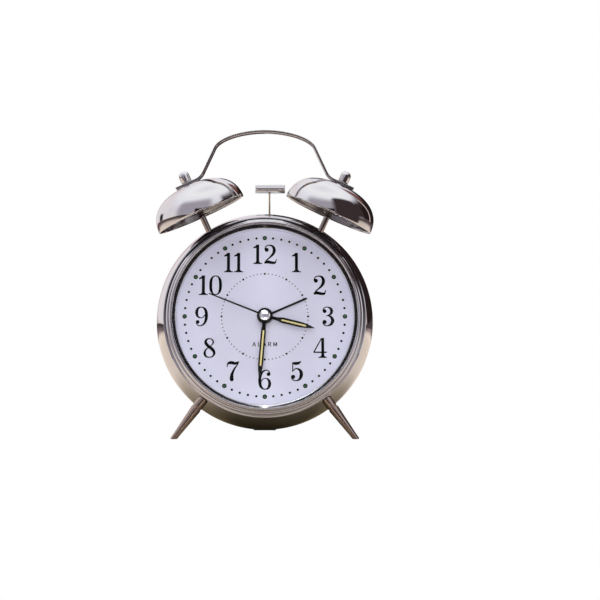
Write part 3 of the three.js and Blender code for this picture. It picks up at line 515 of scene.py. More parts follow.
def stroke(points, weight=0.91):
    """Outline of a line whose width changes along it."""
    points = [(x, y, max(width * weight, min(width, 0.05))) for x, y, width in points]
    path = curve_through(points) if len(points) > 2 else points
    left, right = [], []
    for i, (x, y, width) in enumerate(path):
        ahead, behind = path[min(i + 1, len(path) - 1)], path[max(i - 1, 0)]
        run = Vector((ahead[0] - behind[0], ahead[1] - behind[1])).normalized() * max(width, 0.01) / 2
        left.append((x - run.y, y + run.x))
        right.append((x + run.y, y - run.x))
    return left + right[::-1]


def ball(x, y, radius, steps=20):
    turn = [2 * math.pi * k / steps for k in range(steps)]
    return [(x + radius * math.cos(a), y + radius * math.sin(a)) for a in turn]


# Each numeral is drawn in an em one high: x from 0, y from 0 at the foot to 1 at the top.
DIGITS = {
    "0": (0.66, [stroke([(0.33, 0.975, 0.05), (0.20, 0.93, 0.08), (0.105, 0.76, 0.15), (0.08, 0.5, 0.165),
                         (0.105, 0.24, 0.15), (0.20, 0.07, 0.08), (0.33, 0.025, 0.05)]),
                 stroke([(0.33, 0.025, 0.05), (0.46, 0.07, 0.08), (0.555, 0.24, 0.15), (0.58, 0.5, 0.165),
                         (0.555, 0.76, 0.15), (0.46, 0.93, 0.08), (0.33, 0.975, 0.05)])]),
    "1": (0.50, [stroke([(0.26, 0.03, 0.17), (0.26, 1.0, 0.17)]),
                 stroke([(0.03, 0.03, 0.06), (0.49, 0.03, 0.06)]),
                 [(0.10, 0.05), (0.42, 0.05), (0.345, 0.13), (0.175, 0.13)],
                 [(0.03, 0.80), (0.03, 0.86), (0.24, 1.0), (0.30, 1.0), (0.22, 0.84)]]),
    "2": (0.70, [ball(0.17, 0.73, 0.105),
                 stroke([(0.075, 0.75, 0.05), (0.14, 0.91, 0.06), (0.32, 0.965, 0.07), (0.49, 0.90, 0.13),
                         (0.56, 0.72, 0.18), (0.50, 0.52, 0.15), (0.33, 0.34, 0.09), (0.16, 0.19, 0.07),
                         (0.07, 0.06, 0.06)]),
                 stroke([(0.05, 0.06, 0.10), (0.22, 0.11, 0.17), (0.42, 0.075, 0.16), (0.58, 0.07, 0.13),
                         (0.645, 0.16, 0.06), (0.665, 0.26, 0.045)])]),
    "3": (0.68, [ball(0.16, 0.765, 0.10), ball(0.155, 0.22, 0.105),
                 stroke([(0.07, 0.79, 0.05), (0.15, 0.93, 0.06), (0.31, 0.97, 0.06), (0.46, 0.90, 0.13),
                         (0.52, 0.76, 0.17), (0.45, 0.61, 0.12), (0.31, 0.54, 0.05), (0.24, 0.53, 0.05)]),
                 stroke([(0.24, 0.53, 0.05), (0.36, 0.53, 0.07), (0.50, 0.45, 0.14), (0.565, 0.28, 0.19),
                         (0.48, 0.11, 0.14), (0.31, 0.03, 0.06), (0.14, 0.07, 0.06), (0.06, 0.20, 0.05)])]),
    "4": (0.70, [stroke([(0.49, 0.03, 0.16), (0.49, 1.0, 0.16)]),
                 stroke([(0.44, 0.99, 0.06), (0.05, 0.31, 0.07)]),
                 stroke([(0.02, 0.285, 0.075), (0.69, 0.285, 0.075)]),
                 stroke([(0.27, 0.03, 0.06), (0.69, 0.03, 0.06)]),
                 [(0.34, 0.05), (0.64, 0.05), (0.57, 0.13), (0.41, 0.13)],
                 [(0.43, 1.0), (0.57, 1.0), (0.41, 0.9)]]),
    "5": (0.68, [ball(0.155, 0.22, 0.105), stroke([(0.13, 0.47, 0.05), (0.14, 0.95, 0.06)]),
                 stroke([(0.12, 0.90, 0.10), (0.26, 0.885, 0.16), (0.42, 0.90, 0.15), (0.56, 0.99, 0.04)]),
                 stroke([(0.13, 0.48, 0.04), (0.24, 0.60, 0.06), (0.38, 0.62, 0.08), (0.53, 0.51, 0.16),
                         (0.57, 0.32, 0.19), (0.49, 0.12, 0.14), (0.32, 0.03, 0.06), (0.14, 0.07, 0.06),
                         (0.06, 0.20, 0.05)])]),
    "6": (0.68, [ball(0.53, 0.775, 0.095),
                 stroke([(0.60, 0.83, 0.05), (0.52, 0.94, 0.05), (0.38, 0.97, 0.06), (0.21, 0.87, 0.11),
                         (0.11, 0.67, 0.16), (0.085, 0.42, 0.17), (0.13, 0.19, 0.15), (0.24, 0.06, 0.09),
                         (0.36, 0.03, 0.055)]),
                 stroke([(0.36, 0.03, 0.055), (0.51, 0.09, 0.12), (0.585, 0.29, 0.17), (0.53, 0.49, 0.12),
                         (0.39, 0.57, 0.055), (0.25, 0.53, 0.05), (0.15, 0.40, 0.05)])]),
    "7": (0.66, [stroke([(0.035, 0.70, 0.045), (0.06, 0.83, 0.07), (0.12, 0.90, 0.13), (0.26, 0.925, 0.17),
                         (0.45, 0.885, 0.15), (0.63, 0.97, 0.06)]),
                 stroke([(0.63, 0.985, 0.05), (0.55, 0.82, 0.07), (0.40, 0.60, 0.10), (0.30, 0.38, 0.15),
                         (0.27, 0.20, 0.20), (0.275, 0.09, 0.205)]), ball(0.275, 0.10, 0.103)]),
    "8": (0.68, [stroke([(0.33, 0.97, 0.055), (0.19, 0.92, 0.10), (0.135, 0.77, 0.16), (0.24, 0.62, 0.17),
                         (0.41, 0.49, 0.18), (0.54, 0.35, 0.16), (0.57, 0.21, 0.13), (0.49, 0.08, 0.08),
                         (0.33, 0.028, 0.055)]),
                 stroke([(0.33, 0.028, 0.055), (0.16, 0.08, 0.10), (0.09, 0.23, 0.14), (0.14, 0.40, 0.08),
                         (0.30, 0.53, 0.05), (0.44, 0.64, 0.05), (0.52, 0.78, 0.09), (0.46, 0.92, 0.07),
                         (0.33, 0.97, 0.055)])]),
}
DIGITS["9"] = (0.68, [[(0.68 - x, 1 - y) for x, y in outline] for outline in DIGITS["6"][1]])
NUMERAL_HEIGHT = 10.4
NUMERAL_RADIUS = 32.8
INK_THICKNESS = 0.04
INK_ROOT = 0.01
NARROW = 0.98


def flat_solid(name, outlines, front, back):
    """Closed plates from outlines in the dial's plane (x right, y up), joined into one mesh.
    A long outline runs up one side and down the other, so its face is filled rung by rung."""
    whole = None
    for outline in outlines:
        mesh = bmesh.new()
        near = [mesh.verts.new((x, front, z)) for x, z in outline]
        far = [mesh.verts.new((x, back, z)) for x, z in outline]
        if len(outline) > 30 and len(outline) % 2 == 0:
            rungs = range(len(outline) // 2 - 1)
            ladder = [(near[k], near[k + 1], near[-2 - k], near[-1 - k]) for k in rungs]
            ladder += [(far[k + 1], far[k], far[-1 - k], far[-2 - k]) for k in rungs]
            for rung in ladder:
                mesh.faces.new(rung)
        else:
            mesh.faces.new(near)
            mesh.faces.new(far[::-1])
        for k in range(len(outline)):
            after = (k + 1) % len(outline)
            mesh.faces.new((near[after], near[k], far[k], far[after]))
        bmesh.ops.triangulate(mesh, faces=mesh.faces)
        plate = object_from(name if whole is None else "part", mesh)
        whole = plate if whole is None else combine(whole, plate, "UNION")
    return whole


def numeral(hour):
    """One hour number, upright, with its middle on the numeral circle."""
    text = str(hour)
    widths = [DIGITS[c][0] * NARROW for c in text]
    gap = 0.02 if text == "11" else 0.05
    total = sum(widths) + gap * (len(text) - 1)
    turn = math.radians(30 * hour)
    centre = Vector((math.sin(turn), math.cos(turn))) * NUMERAL_RADIUS
    outlines, pen = [], -total / 2
    for character, width in zip(text, widths):
        for outline in DIGITS[character][1]:
            outlines.append([(centre.x + (pen + x * NARROW) * NUMERAL_HEIGHT,
                              centre.y + (y - 0.5) * NUMERAL_HEIGHT) for x, y in outline])
        pen += width + gap
    return flat_solid("numeral_%d" % hour, outlines, DIAL_FACE - INK_THICKNESS, DIAL_FACE + INK_ROOT)


for hour in range(1, 13):
    seat(numeral(hour), material=INK, body="root", slot="black_paint", replace=False)

# %% Small word under the centre
WORD_HEIGHT = 2.2
WORD_DROP = 14.5
LETTER = {
    "A": [[(0, 0, .13), (.36, 1, .13)], [(.72, 0, .13), (.36, 1, .13)], [(.15, .33, .11), (.57, .33, .11)]],
    "L": [[(.07, 0, .13), (.07, 1, .13)], [(.02, .06, .12), (.55, .06, .12)]],
    "R": [[(.07, 0, .13), (.07, 1, .13)], [(.05, .94, .12), (.45, .94, .12), (.6, .73, .13), (.45, .5, .12),
          (.05, .5, .12)], [(.33, .5, .13), (.64, 0, .13)]],
    "M": [[(.07, 0, .13), (.07, 1, .13)], [(.07, .97, .13), (.42, .15, .13)],
          [(.42, .15, .13), (.77, .97, .13)], [(.77, 0, .13), (.77, 1, .13)]],
}
WORD = "ALARM"
WORD_WEIGHT = 1.35
LETTER_WIDTH = {"A": 0.72, "L": 0.57, "R": 0.66, "M": 0.84}
LETTER_GAP = 0.55
total = sum(LETTER_WIDTH[c] for c in WORD) + LETTER_GAP * (len(WORD) - 1)
pen = -total / 2
word_outlines = []
for character in WORD:
    for line in LETTER[character]:
        word_outlines.append([((pen + x) * WORD_HEIGHT, -WORD_DROP + (y - 0.5) * WORD_HEIGHT)
                              for x, y in stroke(line, WORD_WEIGHT)])
    pen += LETTER_WIDTH[character] + LETTER_GAP
word = flat_solid("dial_word", word_outlines, DIAL_FACE - INK_THICKNESS, DIAL_FACE + INK_ROOT)
seat(word, material=INK, body="root", slot="black_paint", replace=False)

# %% [markdown]
# The minute track and the inner alarm track are dots on circles. One Geometry Nodes tree sets
# them: it puts small discs at equal steps round a circle and takes larger ones at every nth step.


# %% Dot rings
def dot_ring_tree():
    tree = bpy.data.node_groups.new("dot_ring", "GeometryNodeTree")
    for label, kind, value in (("Count", "NodeSocketInt", 60), ("Radius", "NodeSocketFloat", 0.04),
                               ("Every", "NodeSocketInt", 5), ("Offset", "NodeSocketInt", 0),
                               ("Skip", "NodeSocketBool", False), ("Dot", "NodeSocketFloat", 0.0006),
                               ("Depth", "NodeSocketFloat", 0.00004)):
        socket = tree.interface.new_socket(label, in_out="INPUT", socket_type=kind)
        socket.default_value = value
    tree.interface.new_socket("Material", in_out="INPUT", socket_type="NodeSocketMaterial")
    tree.interface.new_socket("Geometry", in_out="OUTPUT", socket_type="NodeSocketGeometry")
    given = tree.nodes.new("NodeGroupInput").outputs
    out = tree.nodes.new("NodeGroupOutput")
    circle = add_node(tree, "GeometryNodeMeshCircle", {"Vertices": given["Count"],
                      "Radius": given["Radius"]})
    index = add_node(tree, "GeometryNodeInputIndex")
    moved = add_math(tree, "ADD", index.outputs[0], given["Offset"])
    rest = add_math(tree, "FLOORED_MODULO", moved, given["Every"])
    on_step = add_node(tree, "FunctionNodeCompare", {"A": rest, "B": 0.5}, data_type="FLOAT",
                       operation="LESS_THAN")
    chosen = add_node(tree, "FunctionNodeBooleanMath", {0: on_step.outputs[0], 1: given["Skip"]},
                      operation="XOR")
    disc = add_node(tree, "GeometryNodeMeshCylinder", {"Vertices": 24, "Radius": given["Dot"],
                    "Depth": given["Depth"]})
    placed = add_node(tree, "GeometryNodeInstanceOnPoints", {"Points": circle.outputs["Mesh"],
                      "Selection": chosen.outputs[0], "Instance": disc.outputs["Mesh"]})
    real = add_node(tree, "GeometryNodeRealizeInstances", {"Geometry": placed.outputs["Instances"]})
    painted = add_node(tree, "GeometryNodeSetMaterial", {"Geometry": real.outputs["Geometry"],
                       "Material": given["Material"]})
    tree.links.new(painted.outputs["Geometry"], out.inputs["Geometry"])
    return tree


DOT_RING = dot_ring_tree()


def dot_ring(name, material, slot, lift=0.0, **values):
    """Sets the tree's inputs by name, turns the rings into mesh and lays them on the dial."""
    thing = bpy.data.objects.new(name, bpy.data.meshes.new(name))
    bpy.context.scene.collection.objects.link(thing)
    modifier = thing.modifiers.new("dots", "NODES")
    modifier.node_group = DOT_RING
    names = {s.name: s.identifier for s in DOT_RING.interface.items_tree if s.in_out == "INPUT"}
    for label, value in values.items():
        modifier[names[label]] = value
    modifier[names["Material"]] = material
    harden(thing)
    lie = Matrix.Translation((0, DIAL_FACE - lift, 0)) @ Matrix.Rotation(math.radians(90), 4, "X")
    thing.data.transform(lie @ Matrix.Scale(1 / MM, 4))
    return seat(thing, material=material, body="root", slot=slot, replace=False)


OUTER_TRACK = 41.5 * MM
INNER_TRACK = 22.4 * MM
TRACK_DEPTH = 2 * INK_THICKNESS * MM
FAINT_INK = finish_material("faint_ink", (0.06, 0.06, 0.08), 0.0, 0.5, 0.05, 200.0, 1500.0, 0.02)
MINUTES = {"Count": 60, "Every": 5, "Radius": OUTER_TRACK}
ALARM_STEPS = {"Count": 72, "Every": 6, "Radius": INNER_TRACK}
CENTRE_LIFT = 0.02
for name, material, lift, track, skip, dot, depth in (
        ("minute_dots", INK, 0.0, MINUTES, True, 0.62, 1.0),
        ("hour_dots", INK, 0.0, MINUTES, False, 1.18, 1.0),
        ("hour_dot_centres", LUME_DOT, CENTRE_LIFT, MINUTES, False, 0.72, 1.2),
        ("alarm_marks", INK, 0.0, ALARM_STEPS, False, 0.56, 1.0),
        ("alarm_minor_marks", FAINT_INK, 0.0, ALARM_STEPS, True, 0.33, 1.0)):
    dot_ring(name, material, "black_paint", lift=lift, Skip=skip, Dot=dot * MM,
             Depth=TRACK_DEPTH * depth, **track)

# %% [markdown]
# ## The hands
# Four thin blades, one above the other. The hour and minute hands have a narrow neck that opens into a
# long body with a slot of luminous paint; the small bevel on each edge is what separates black
# from black when hands cross.

# %% Hand blades
HAND_ANGLE = {"alarm": 66.6, "hour": 103.7, "minute": 184.95, "second": 291.7}
HAND_THICKNESS = 0.35
BLADE = {
    "alarm": [(0.55, 3.0), (0.55, 23.1), (0.4, 23.7), (0.0, 23.9)],
    "hour": [(0.75, 3.0), (0.62, 5.4), (0.66, 6.4), (1.0, 7.4), (1.38, 8.6), (1.46, 10.0), (1.46, 19.0),
             (1.25, 21.4), (0.72, 24.2), (0.0, 26.8)],
    "minute": [(0.85, 3.6), (0.64, 5.2), (0.72, 6.0), (1.05, 6.8), (1.26, 7.8), (1.3, 9.2), (1.3, 25.4),
               (1.05, 28.2), (0.55, 31.0), (0.0, 33.0)],
    "second": [(0.45, 1.4), (0.45, 4.0), (0.42, 20.0), (0.3, 31.1)],
}
HUB = {"alarm": (3.6, 3.25), "hour": (3.4, 2.45), "minute": (4.1, 1.65), "second": (1.6, 0.85)}
LUME_STRIP = {"hour": (8.8, 21.6, 0.42), "minute": (7.7, 25.8, 0.4)}


def rod(name, radius, front, back, at=(0, 0), segments=64):
    profile = [(0, front), (radius, front), (radius, back), (0, back)]
    return object_from(name, turned(profile, Matrix.Translation((at[0], 0, at[1])), segments))


def bevel(thing, width, steps=2, angle=40):
    modifier = thing.modifiers.new("bevel", "BEVEL")
    modifier.width = width
    modifier.segments = steps
    modifier.limit_method = "ANGLE"
    modifier.angle_limit = math.radians(angle)
    return harden(thing)


def clockwise(degrees):
    return Matrix.Rotation(math.radians(degrees), 4, "Y")


def hand_blade(kind):
    front = span(kind + "_hand")[0].y
    right = BLADE[kind]
    outline = [(x, z) for x, z in right] + [(-x, z) for x, z in right[::-1] if x > 0]
    hub_radius, bore = HUB[kind]
    blade = flat_solid(kind + "_hand_blade", [outline, ball(0, 0, hub_radius, 64)], front,
                       front + HAND_THICKNESS)
    combine(blade, rod("bore", bore, front - 1, front + 1), "DIFFERENCE")
    bevel(blade, 0.06)
    blade.data.transform(clockwise(HAND_ANGLE[kind]))
    return seat(blade, kind + "_hand")


def lume_strip(kind):
    front = span(kind + "_hand")[0].y
    start, end, half = LUME_STRIP[kind]
    corners = [(-half, start), (half, start), (half, end), (0, end + half), (-half, end)]
    strip = flat_solid(kind + "_hand_lume", [corners], front - 0.04, front + 0.1)
    strip.data.transform(clockwise(HAND_ANGLE[kind]))
    return seat(strip, material=LUME, body=body_of[kind + "_hand"], slot="black_paint", replace=False)


for kind in BLADE:
    hand_blade(kind)
for kind in LUME_STRIP:
    lume_strip(kind)

cap_back = span("second_hand")[0].y - 0.1
cap_profile = fillet([
    (0, cap_back - 0.25), (1.5, cap_back - 0.32), (2.1, cap_back - 0.62, 0.25), (2.7, cap_back - 0.35, 0.2),
    (2.7, cap_back - 0.05, 0.1), (0, cap_back - 0.05),
])
turned_piece("hand_cap_dome", cap_profile, "hand_cap", segments=96, sharp=50)

# %% [markdown]
# ## Bells, posts and handle
# Each bell is a deep cup spun from sheet, with a full crown and an upright rim. It is drawn along
# its own post's axis, with the same sizes as its solid in the frame.

# %% Bells on their posts
BELL_ANGLE = math.radians(24.5)
POST_TILT = math.asin(-hand_axis.z)
POST_BASE = Vector((29.2, -12.0, 45.3))
BELL_RADIUS = 24.35
BELL_DEPTH = 17.0
BELL_WALL = 0.9
BELL_TOP = 26.9
BELL_FULLNESS = 2.4
STUD_RADIUS = 1.2
GAP = 0.3


def on_post(side):
    """A post's frame: leaning outward by the bell angle and forward by as much as the case leans."""
    base = Vector((side * POST_BASE.x, POST_BASE.y, POST_BASE.z))
    forward = Matrix.Translation(base) @ Matrix.Rotation(POST_TILT, 4, "X") @ Matrix.Translation(-base)
    return forward @ along_axis(base, side * BELL_ANGLE)


def bell_wall(radius, depth, rim, steps):
    """A super-ellipse: an upright rim that rolls over into a domed crown."""
    points = []
    for k in range(steps + 1):
        angle = math.pi / 2 * k / steps
        points.append((radius * max(math.cos(angle), 0) ** (2 / BELL_FULLNESS),
                       rim + depth * math.sin(angle) ** (2 / BELL_FULLNESS)))
    return points


def dull_inside(cup, place):
    """Painted shade: marks the inner wall with a point value that the chrome reads, stronger deeper in the cup,
    where the chrome turns darker and rougher.
    """
    inward = (STAND @ place).inverted()
    mark = cup.data.attributes.new("painted_shade", "FLOAT", "POINT")
    rim = BELL_TOP - BELL_DEPTH
    for vertex, value in zip(cup.data.vertices, mark.data):
        at = inward @ vertex.co
        reach = math.hypot(at.x, at.z) / (BELL_RADIUS - BELL_WALL / 2)
        rise = (at.y - rim) / (BELL_DEPTH - BELL_WALL / 2)
        full = reach ** BELL_FULLNESS + max(rise, 0) ** BELL_FULLNESS
        value.value = min(0.4 + 1.6 * max(rise, 0), 1.0) if full < 1 and at.y > rim + 0.2 else 0.0


def bell_profile():
    rim = BELL_TOP - BELL_DEPTH
    hole = STUD_RADIUS + GAP
    outer = [p for p in bell_wall(BELL_RADIUS, BELL_DEPTH, rim, 48) if p[0] > hole] + [(hole, BELL_TOP)]
    inside = bell_wall(BELL_RADIUS - BELL_WALL, BELL_DEPTH - BELL_WALL, rim, 40)
    inner = [p for p in inside if p[0] > hole] + [(hole, BELL_TOP - BELL_WALL)]
    edge = [(BELL_RADIUS - 0.25, rim), (BELL_RADIUS - 0.65, rim)]
    outer[0] = (BELL_RADIUS, rim + 0.25)
    inner[0] = (BELL_RADIUS - BELL_WALL, rim + 0.25)
    return inner[::-1] + edge[::-1] + outer


for hand, side in (("left", -1), ("right", 1)):
    place = on_post(side)
    cup = turned_piece(hand + "_bell_cup", bell_profile(), hand + "_bell", place, closed=True, segments=192,
                       sharp=50)
    dull_inside(cup, place)
    shoulder = BELL_TOP - BELL_WALL - 0.9 - 2 * GAP
    pin = fillet([(0, -4.4), (1.6, -4.4, 0.2), (1.6, shoulder, 0.2), (STUD_RADIUS, shoulder, 0.05),
                  (STUD_RADIUS, BELL_TOP + 4.5, 0.2), (0, BELL_TOP + 4.5)])
    turned_piece(hand + "_bell_pin", pin, hand + "_bell_post", place, segments=64, material=PIN_CHROME)
    washer_back = BELL_TOP - BELL_WALL - GAP
    washer = fillet([(STUD_RADIUS + GAP, washer_back), (3.4, washer_back, 0.15),
                     (3.4, washer_back - 0.9, 0.15), (STUD_RADIUS + GAP, washer_back - 0.9)])
    turned_piece(hand + "_washer", washer, hand + "_bell_washer", place, closed=True, segments=64)
    foot = BELL_TOP + 1.1 + 2 * GAP
    nut = fillet([(STUD_RADIUS + GAP, foot), (2.5, foot, 0.2), (2.8, foot + 0.35, 0.3),
                  (2.8, foot + 3.9, 0.8), (2.45, foot + 5.1, 0.8), (1.2, foot + 5.95, 0.8),
                  (0, foot + 6.0), (0, foot + 5.4), (STUD_RADIUS + GAP, foot + 5.2)])
    turned_piece(hand + "_cap", nut, hand + "_cap_nut", place, closed=True, segments=96)

# %% [markdown]
# The handle is one bent strap. Its middle line is drawn once for the right half and mirrored:
# a tab under the nut, a tight bend, a straight rise and a long arch. The section has rounded
# edges, which catch a bright line along the whole length.

# %% Handle strap
STRAP_THICKNESS = 1.1
STRAP_WIDTH = 8.0
STRAP_EDGE = 0.38
HANDLE_TOP = 98.0
STRAP_SHOULDER = Vector((26.2, 89.3))
BEND_REACH = 3.0


def bezier(points, steps):
    out = []
    for k in range(steps + 1):
        layer, t = list(points), k / steps
        while len(layer) > 1:
            layer = [a.lerp(b, t) for a, b in zip(layer, layer[1:])]
        out.append(layer[0])
    return out


def strap_line():
    axis = Vector((math.sin(BELL_ANGLE), math.cos(BELL_ANGLE)))
    inward = Vector((-axis.y, axis.x))
    seat_point = Vector((POST_BASE.x, POST_BASE.z)) + axis * (BELL_TOP + GAP + STRAP_THICKNESS / 2)
    tab, bend = seat_point - inward * 6.5, seat_point + inward * 7.9
    rise = (STRAP_SHOULDER - bend).normalized()
    half = [tab.lerp(bend - inward * BEND_REACH, k / 8) for k in range(8)]
    half += bezier([bend - inward * BEND_REACH, bend, bend + rise * BEND_REACH], 14)
    arch = [STRAP_SHOULDER, STRAP_SHOULDER + rise * 5.5, Vector((12, HANDLE_TOP)), Vector((0, HANDLE_TOP))]
    half += bezier(arch, 40)
    return half + [Vector((-p.x, p.y)) for p in half[-2::-1]]


def rounded_section(width, thickness, radius, steps=4):
    """Corners of a strap's cross-section: (across the width, across the thickness)."""
    points = []
    for sx, sy, start in ((1, 1, 0), (-1, 1, 90), (-1, -1, 180), (1, -1, 270)):
        for k in range(steps + 1):
            a = math.radians(start + 90 * k / steps)
            points.append((sx * (width / 2 - radius) + radius * math.cos(a),
                           sy * (thickness / 2 - radius) + radius * math.sin(a)))
    return points


def strap_mesh():
    line = strap_line()
    section = rounded_section(STRAP_WIDTH, STRAP_THICKNESS, STRAP_EDGE)
    mesh = bmesh.new()
    rings = []
    for i, p in enumerate(line):
        run = (line[min(i + 1, len(line) - 1)] - line[max(i - 1, 0)]).normalized()
        out = Vector((-run.y, run.x))
        rings.append([mesh.verts.new((p.x + out.x * v, POST_BASE.y + u, p.y + out.y * v))
                      for u, v in section])
    for first, second in zip(rings, rings[1:]):
        for k in range(len(section)):
            after = (k + 1) % len(section)
            mesh.faces.new((first[k], first[after], second[after], second[k]))
    mesh.faces.new(rings[0])
    mesh.faces.new(rings[-1][::-1])
    return mesh


strap = object_from("strap", strap_mesh())
strap.data.transform(on_post(1) @ along_axis(POST_BASE, BELL_ANGLE).inverted())
for side in (-1, 1):
    place = on_post(side)
    hole = [(0, BELL_TOP - 1), (STUD_RADIUS + GAP, BELL_TOP - 1), (STUD_RADIUS + GAP, BELL_TOP + 4),
            (0, BELL_TOP + 4)]
    combine(strap, object_from("hole", turned(hole, place, 48)), "DIFFERENCE")
seat(strap, "handle_strap", STRAP_CHROME, sharp=40)

# %% Hammer head and wire
HAMMER_AT = Vector((2.5, -12.0, 68.5))
head_place = Matrix.Translation((0, HAMMER_AT.y, HAMMER_AT.z)) @ Matrix.Rotation(math.radians(-90), 4, "Z")
HEAD_RADIUS = 2.3
HEAD_LEFT, HEAD_RIGHT = -5, 10.7
WIRE_RADIUS = 0.45
head_profile = fillet([(0, HEAD_LEFT), (HEAD_RADIUS, HEAD_LEFT, 0.5), (HEAD_RADIUS, HEAD_RIGHT, 0.5),
                       (0, HEAD_RIGHT)], 6)
wire_place = along_axis(Vector((HAMMER_AT.x, HAMMER_AT.y, 0)), 0)
head = object_from("hammer_striker", turned(head_profile, head_place, 96))
wire_hole = [(0, 65.2), (0.75, 65.2), (0.75, 69.9), (0, 69.9)]
combine(head, object_from("bore", turned(wire_hole, wire_place, 32)), "DIFFERENCE")
seat(head, "hammer_head", sharp=50)
wire = fillet([(0, 32.9), (WIRE_RADIUS, 32.9, 0.1), (WIRE_RADIUS, 69.4, 0.1), (0, 69.4)])
turned_piece("hammer_spring_wire", wire, "hammer_wire", wire_place, segments=32)

# %% Legs
LEG_ANGLE = math.radians(36.5)
LEG_DEPTH = -13.5
LEG_END = 79.0
TAPER_START = 59.0


def cut_at_table(thing):
    """Closes a mesh flat where it meets the table."""
    mesh = bmesh.new()
    mesh.from_mesh(thing.data)
    point = FROM_WORLD @ Vector((0, 0, 0))
    normal = (FROM_WORLD.to_3x3() @ Vector((0, 0, 1))).normalized()
    geometry = mesh.verts[:] + mesh.edges[:] + mesh.faces[:]
    cut = bmesh.ops.bisect_plane(mesh, geom=geometry, plane_co=point, plane_no=normal,
                                 clear_inner=True)
    edges = [e for e in cut["geom_cut"] if isinstance(e, bmesh.types.BMEdge)]
    bmesh.ops.holes_fill(mesh, edges=edges)
    bmesh.ops.recalc_face_normals(mesh, faces=mesh.faces)
    mesh.to_mesh(thing.data)
    mesh.free()
    return thing


def gap_solid():
    """The barrel grown by the assembly gap, to cut a leg's root to the sheet."""
    profile = [(0, -22), (BEZEL_RADIUS + 1, -22), (51.9, BARREL_FRONT - 1.5)]
    profile += [(barrel_radius(BARREL_FRONT + k * 1.1) + GAP, BARREL_FRONT + k * 1.1) for k in range(16)]
    return object_from("gap", turned(profile + [(0, 0)], segments=192))


for hand, side in (("left", -1), ("right", 1)):
    place = along_axis(Vector((0, LEG_DEPTH, 0)), side * (math.pi - LEG_ANGLE))
    shaft = fillet([(0, 50), (2.7, 50), (2.7, TAPER_START - 1.1, 0.15), (2.35, TAPER_START - 0.8, 0.12),
                    (2.35, TAPER_START - 0.2, 0.12), (2.66, TAPER_START + 0.1, 0.15),
                    (1.65, LEG_END - 4, 1.0), (1.5, LEG_END, 0.3), (0, LEG_END)], 4)
    leg = object_from(hand + "_leg_shaft", turned(shaft, place, 96))
    combine(leg, gap_solid(), "DIFFERENCE")
    stud = [(0, 48.4), (STUD_RADIUS, 48.4), (STUD_RADIUS, 56), (0, 56)]
    combine(leg, object_from("stud", turned(stud, place, 48)), "UNION")
    cut_at_table(leg)
    seat(leg, hand + "_leg", LEG_CHROME, sharp=50)

# %% [markdown]
# ## The back
# A moulded cover closes the barrel: a rim step, the battery door with its grip ribs, two knobs
# for setting the hands, the alarm slide and a heel that the clock leans on. The recesses round
# the controls are cut into it, as the mould would leave them.

# %% Rear cover
COVER_RADIUS = 54.2
COVER_FRONT = 19.9
COVER_BACK = 21.9
DOOR_LOW, DOOR_HIGH = span("battery_door")
SCREWS = [(46.0 * math.sin(math.radians(a)), 46.0 * math.cos(math.radians(a))) for a in (65, 295)]


def middle_of(node):
    low, high = span(node)
    return (low.x + high.x) / 2, (low.z + high.z) / 2


def box(name, x0, x1, y0, y1, z0, z1):
    mesh = bmesh.new()
    bmesh.ops.create_cube(mesh, size=1.0)
    size = Matrix.Diagonal((x1 - x0, y1 - y0, z1 - z0, 1))
    centre = Matrix.Translation(((x0 + x1) / 2, (y0 + y1) / 2, (z0 + z1) / 2))
    bmesh.ops.transform(mesh, verts=mesh.verts, matrix=centre @ size)
    return object_from(name, mesh)


TIME_KNOB = middle_of("time_set_knob")
ALARM_KNOB = middle_of("alarm_set_knob")
SWITCH_AT = (-14.0, 34.0)
BAY_HALF, BAY_LOW, BAY_HIGH, BAY_FRONT, BAY_WALL = 29.3, -39.0, -22.0, 5.4, 1.2
disc_profile = fillet([
    (0, COVER_FRONT), (51.4, COVER_FRONT), (51.4, 14), (52.6, 14), (52.6, COVER_FRONT),
    (COVER_RADIUS, COVER_FRONT, 0.2), (COVER_RADIUS, COVER_FRONT + 0.9, 0.6), (52.6, COVER_BACK, 0.9),
    (50.8, COVER_BACK), (50.4, COVER_BACK - 0.45), (49.6, COVER_BACK - 0.45), (49.2, COVER_BACK),
    (0, COVER_BACK),
])
cover = object_from("cover", turned(disc_profile, segments=192))
tub = box("tub", -BAY_HALF - BAY_WALL, BAY_HALF + BAY_WALL, BAY_FRONT - BAY_WALL, COVER_FRONT + 0.5,
          BAY_LOW - BAY_WALL, BAY_HIGH + BAY_WALL)
combine(cover, tub, "UNION")
heel = box("heel", -6, 6, COVER_FRONT + 0.1, COVER_BACK + 2.4, -62, -47)
combine(cover, cut_at_table(bevel(heel, 0.5)), "UNION")
bay = box("bay", -BAY_HALF, BAY_HALF, BAY_FRONT, COVER_BACK + 1, BAY_LOW, BAY_HIGH)
combine(cover, bay, "DIFFERENCE")
for at in (TIME_KNOB, ALARM_KNOB):
    combine(cover, rod("well", 6.6, COVER_BACK - 0.5, 25, at), "DIFFERENCE")
    combine(cover, rod("hole", 2.4, 15, 25, at), "DIFFERENCE")
combine(cover, box("track", -20.4, -7.6, COVER_BACK - 0.5, 25, 30.8, 37.2), "DIFFERENCE")
combine(cover, box("slot", -19.5, -8.5, 15, 25, 32.4, 35.6), "DIFFERENCE")
for at in SCREWS:
    combine(cover, rod("bore", 1.6, 15, 25, at, 32), "DIFFERENCE")
for step in range(5):
    z = 8.0 + 3.2 * step
    combine(cover, box("grille", -32, -14, COVER_BACK - 0.6, 25, z, z + 1.3), "DIFFERENCE")
bevel(cover, 0.12, 2, 50)
seat(cover, "rear_cover", sharp=12)

